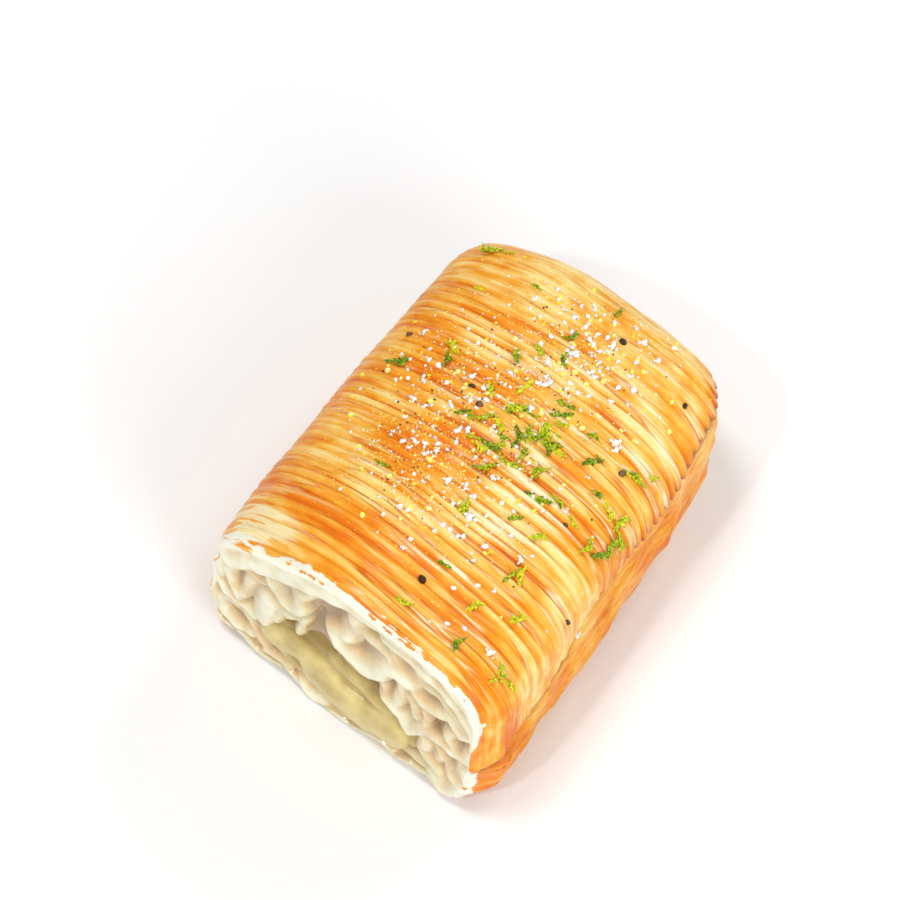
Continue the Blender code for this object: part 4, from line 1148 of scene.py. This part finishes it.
# what is sprinkled on the crown
sprinkle = {
    "seed": 23,
    "dustAcross": 36, "dustAlong": (-52, 46),       # no dust lies further out than this, in mm
    # places as arc across the crown and distance from the middle of the length, both in mm
    "shreds": (
        (5, 0), (8, 1), (11, 3), (7, 2), (9, 3), (12, 3), (4, -2), (10, 5), (6, -1), (13, 2), (10, 4),
        (10, 10), (12, 9), (0, 10), (-6, 5), (-8, -3), (3, -5), (-3, -1), (1, -1), (14, -4), (7, -7),
        (9, -6), (11, -6), (9, -3), (-2, -7), (4, -11), (10, 13), (1, 6), (-6, -2), (2, -7), (12, 6),
        (-2, 20), (-6, 16), (6, 42), (-28, 41), (-25, 42), (-12, 35), (-23, 28), (1, 28), (3, 22),
        (19, 11), (22, 6), (30, 10), (34, 14), (-19, 7), (-19, 10), (18, -9), (21, -7), (31, 0),
        (26, 1), (34, 1), (36, -2), (36, -6), (26, -8), (34, -9), (31, -11), (22, -17), (16, -17),
        (6, -22), (-14, -25), (24, -27), (22, -29), (10, -36), (29, -35), (20, -39), (22, -48),
        (8, -49), (32, -46), (36, -46), (-29, 1), (2, 5), (5, 6), (15, 2), (0, -8), (16, -10)),
    "shredSizes": (3.4, 5.8),
    "salt": (       # the same with a size
        (8, -24, 3.2), (23, 13, 2.7), (4, 7, 2.2), (2, 13, 2.1), (-1, 33, 2.0), (-0.5, -20, 2.1),
        (6, -19, 1.9), (22, -24, 2.0), (-19, -6, 2.2), (-20, -1, 1.6), (-28, 11, 1.9), (28, -45, 2.2),
        (1, -39, 1.6), (-5, -32, 1.8), (15, 38, 2.2), (7, 38, 1.8), (1, 39, 1.6), (10, 32, 2.0),
        (49, -20, 2.6), (24, 12, 1.9), (9, -23, 2.0), (12, 27, 1.5), (3, 26, 1.5), (17, 20, 1.5),
        (-9, -12, 1.5)),
    "pepper": ((11, 35, 1.7), (30, 32, 1.3), (-31, 9, 1.3), (-10, 4, 1.5), (-6, 1, 1.7), (28, 9, 1.6),
               (25, -10, 1.3), (8, -42, 1.7), (38, -25, 1.2)),
    "crumbs": (
        (12, 38, 1.5), (11, 29, 1.3), (21, 26, 1.2), (-32, 13, 1.3), (-7, -18, 1.2), (14, -13, 1.6),
        (18, -13, 1.4), (-20, 42, 1.3), (-19, 8, 1.3), (-1, -25, 1.2), (-17, -29, 1.5),
        (16, -27, 1.3), (18, -35, 1.2), (-20, 1, 1.2), (-30, -1, 1.2), (4, 20, 1.1), (-14, 16, 1.1)),
    # fine grains: count, middle and spread across and along, smallest and largest size
    "saltDust": ((110, 6, 27, 8, 9, 0.8, 2.2), (110, -2, 4, 14, 13, 0.8, 2.2),
                 (50, -14, -4, 7, 12, 0.9, 2.2),
                 (64, 4, -26, 12, 10, 0.8, 2.0), (170, 5, 27, 9, 9, 0.3, 0.8),
                 (230, -4, 2, 12, 13, 0.3, 0.8), (110, -1, -20, 10, 8, 0.3, 0.8)),
    "crumbDust": ((50, 6, 26, 10, 10, 0.7, 1.4), (80, -4, -6, 16, 16, 0.7, 1.4),
                  (600, 4, 26, 10, 10, 0.15, 0.45), (900, -10, 0, 13, 14, 0.15, 0.50),
                  (600, -2, -20, 11, 10, 0.15, 0.45), (300, -12, -24, 9, 8, 0.15, 0.4)),
    "specks": ((40, 2, 24, 9, 10, 0.25, 0.6), (80, -8, 2, 12, 13, 0.25, 0.6),
               (40, -2, -18, 12, 10, 0.25, 0.6)),
}
rng = random.Random(sprinkle["seed"])


def crustFrame(arc, along):
    # where a ray meets the crust at this place, and the direction out of it
    outer, inner = (Vector(inPlace(crustPoint(np.array([arc]), np.array([along]), out))[0])
                    for out in (0.004, -0.004))
    hit, normal, _, _ = surface.ray_cast(outer, inner - outer)
    return hit, ((outer - inner).normalized() * 0.6 + normal * 0.4).normalized()


def crystal(name, parts):
    # an angular grain of size 1, grown together from broken pebbles
    made = []
    for part in range(parts):
        bpy.ops.mesh.primitive_ico_sphere_add(subdivisions=1, radius=0.5)
        block = nameActive(name)
        places = getPlaces(block.data)
        places *= [[rng.uniform(0.65, 1.15) for _ in range(3)] for _ in places]
        share = 1.0 if part == 0 else rng.uniform(0.4, 0.7)
        places *= np.array((0.90, 0.66, 0.50)) * share
        setPlaces(block.data, places)
        turn = Matrix.Rotation(rng.uniform(0, 6.28), 4, (rng.uniform(-1, 1), rng.uniform(-1, 1), 1.5))
        away = Vector((rng.uniform(-0.45, 0.45), rng.uniform(-0.45, 0.45), rng.uniform(-0.1, 0.1)))
        block.data.transform(Matrix.Translation(away if part else (0, 0, 0)) @ turn)
        made.append(block)
    return joined(name, made)


def lump(name, roughness, detail):
    # a rounded, knobbly grain of size 1
    bpy.ops.mesh.primitive_ico_sphere_add(subdivisions=detail, radius=0.5)
    piece = nameActive(name)
    places = getPlaces(piece.data)
    shift = rng.uniform(0, 50)
    swell = wobble(places[:, 0] * 2.2 + shift, places[:, 1] * 2.2, places[:, 2] * 2.2)
    places *= 1 + roughness * swell[:, None]
    setPlaces(piece.data, places * (1.1, 0.95, 0.85))
    return piece


def sprig(name):
    # a ragged tuft of size 1: thin crinkled blades that fan out from a bent stem
    # each blade has a start, a turn, a length and a width
    blades = [((0, 0, 0), rng.uniform(-0.2, 0.2), 1.0, 0.17)]
    for _ in range(rng.randint(6, 9)):
        y = rng.uniform(-0.42, 0.38)
        turn = rng.choice((-1, 1)) * rng.uniform(0.15, 1.1)
        blades.append(((rng.uniform(-0.05, 0.05), y, rng.uniform(0, 0.08)), turn,
                       rng.uniform(0.20, 0.46), rng.uniform(0.08, 0.16)))
    made = []
    bend = rng.uniform(-0.9, 0.9)
    for start, turn, length, width in blades:
        bpy.ops.mesh.primitive_uv_sphere_add(segments=6, ring_count=9, radius=0.5)
        blade = nameActive(name)
        places = getPlaces(blade.data)[:, (0, 2, 1)] * (width, length, 0.09)
        shift = rng.uniform(0, 50)
        crinkle = [wobble(places[:, 1] * 9, places[:, 0] * 9, shift + 9 * axis) for axis in range(3)]
        places += np.stack(crinkle, axis=-1) * (0.050, 0.03, 0.07)
        if made:
            places[:, 1] += length * 0.45
        places[:, 2] += rng.uniform(0.0, 0.6) * places[:, 1] ** 2
        places[:, 0] += rng.uniform(-0.8, 0.8) * places[:, 1] ** 2
        setPlaces(blade.data, places)
        blade.data.flip_normals()
        blade.data.transform(Matrix.Translation(start) @ Matrix.Rotation(-turn, 4, "Z"))
        made.append(blade)
    tuft = joined(name, made)
    places = getPlaces(tuft.data)
    places[:, 0] += bend * (places[:, 1] ** 2 - 0.1)
    setPlaces(tuft.data, places)
    return tuft


def scatter(name, variants, places, material, sink=0.25, tilt=0.3, palest=0.0):
    # lay copies of the variants on the crust at arc, y and size in mm and join them
    copies = []
    for arc, y, size in places:
        hit, outward = crustFrame(arc * mm, y * mm + middleAlong)
        source = variants[rng.randrange(len(variants))]
        copy = source.copy()
        copy.data = source.data.copy()
        bpy.context.scene.collection.objects.link(copy)
        turn = outward.to_track_quat("Z", "Y").to_matrix().to_4x4() \
            @ Matrix.Rotation(rng.uniform(0, 2 * math.pi), 4, "Z") \
            @ Matrix.Rotation(rng.uniform(-tilt, tilt), 4, "X")
        copy.data.transform(Matrix.Translation(hit + outward * size * mm * (0.5 - sink) * 0.6)
                            @ turn @ Matrix.Scale(size * mm, 4))
        setAttribute(copy.data, "tint", np.full(len(copy.data.vertices), rng.uniform(palest, 1)))
        copies.append(copy)
    piece = joined(name, copies)
    piece.data.materials.clear()
    piece.data.materials.append(grainMaterials[material])
    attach(piece, "root")
    return piece


def grains(zones):
    # random places round the middles of the zones
    found = []
    first, last = sprinkle["dustAlong"]
    for count, arc, y, across, along, smallest, largest in zones:
        for _ in range(count):
            size = smallest + (largest - smallest) * rng.random() ** 1.7      # mostly small ones
            place = (rng.gauss(arc, across), rng.gauss(y, along), size)
            if abs(place[0]) < sprinkle["dustAcross"] and first < place[1] < last:
                found.append(place)
    return found


surface = BVHTree.FromObject(pastry, bpy.context.evaluated_depsgraph_get())
sprigs = [sprig("sprig") for _ in range(7)]
crystals = [crystal("crystal", parts) for parts in (3, 4, 4, 5)]
chips = [crystal("chip", parts) for parts in (1, 1, 2)]
lumps = [lump("lump", 0.22, 2) for _ in range(4)]
grits = [lump("grit", 0.25, 1) for _ in range(4)]
shreds = [(arc, y, rng.uniform(*sprinkle["shredSizes"])) for arc, y in sprinkle["shreds"]]
shredPiece = scatter("scallionShreds", sprigs, shreds, "scallionGreen", 0.42, 0.25)
scatter("saltFlakes", crystals, sprinkle["salt"], "saltWhite")
scatter("saltDust", chips, grains(sprinkle["saltDust"]), "saltWhite")
scatter("yellowCrumbs", crystals, sprinkle["crumbs"], "seasoningYellow")
scatter("yellowDust", grits, grains(sprinkle["crumbDust"]), "seasoningYellow", palest=0.55)
grainPiece = scatter("pepperGrains", lumps, sprinkle["pepper"], "pepperDark")
scatter("pepperSpecks", grits, grains(sprinkle["specks"]), "pepperDark")
for variant in sprigs + crystals + lumps + chips + grits:
    bpy.data.objects.remove(variant)
for piece in (shredPiece, grainPiece):
    smoothShade(piece)
print("toppings are sprinkled")


shot = {        # fitted to the photo; angles in degrees, the lens in mm for a 36 mm sensor
    "azimuth": 24.65, "elevation": 54.75, "roll": 9.22,
    "distance": 0.5958, "lens": 106.8, "target": (-0.01277, 0.00655, 0.0200),
}


def aimCamera():
    around, up = math.radians(shot["azimuth"]), math.radians(shot["elevation"])
    roll = math.radians(shot["roll"])
    back = Vector((math.sin(around) * math.cos(up), -math.cos(around) * math.cos(up), math.sin(up)))
    right = Vector((math.cos(around), math.sin(around), 0))
    above = back.cross(right)
    sideways = right * math.cos(roll) + above * math.sin(roll)
    upwards = above * math.cos(roll) - right * math.sin(roll)
    lens = bpy.data.cameras.new("camera")
    lens.lens = shot["lens"]
    lens.sensor_width = 36.0
    camera = bpy.data.objects.new("camera", lens)
    bpy.context.scene.collection.objects.link(camera)
    place = Matrix((sideways, upwards, back)).transposed().to_4x4()
    place.translation = Vector(shot["target"]) + back * shot["distance"]
    camera.matrix_world = place
    bpy.context.scene.camera = camera


studio = {
    "floor": (0.88, 0.88, 0.88), "world": 0.42,
    # place, size and power of each soft lamp, all aimed at the roll
    "lamps": (
        ("keyLamp", (-0.28, -0.20, 1.03), 0.30, 3.8),
        ("fillLamp", (0.85, -0.45, 0.50), 0.60, 5.4),
        ("backLamp", (0.15, 0.85, 0.70), 0.40, 3.4),
        ("glintLamp", (-0.12, -0.70, 0.80), 0.07, 2.0),
    ),
}


def makeStudio():
    bpy.ops.mesh.primitive_plane_add(size=6.0, location=(0, 0, 0))
    floor = nameActive("floor")
    material, tree, shader = newMaterial("paleFloor")
    feed(tree, shader, {"Base Color": (*studio["floor"], 1.0), "Roughness": 0.9})
    floor.data.materials.append(material)
    world = bpy.data.worlds.new("softWorld")
    world.use_nodes = True
    tree = world.node_tree
    feed(tree, tree.nodes["Background"], {"Color": (1, 1, 1, 1), "Strength": studio["world"]})
    bpy.context.scene.world = world
    for name, place, size, power in studio["lamps"]:
        data = bpy.data.lights.new(name, "AREA")
        data.shape = "DISK"
        data.size = size
        data.energy = power
        lamp = bpy.data.objects.new(name, data)
        bpy.context.scene.collection.objects.link(lamp)
        lamp.location = place
        lamp.rotation_euler = (-Vector(place)).to_track_quat("-Z", "Y").to_euler()


aimCamera()
makeStudio()
bpy.context.scene.view_settings.view_transform = "Standard"
print("floor, light and camera are set")
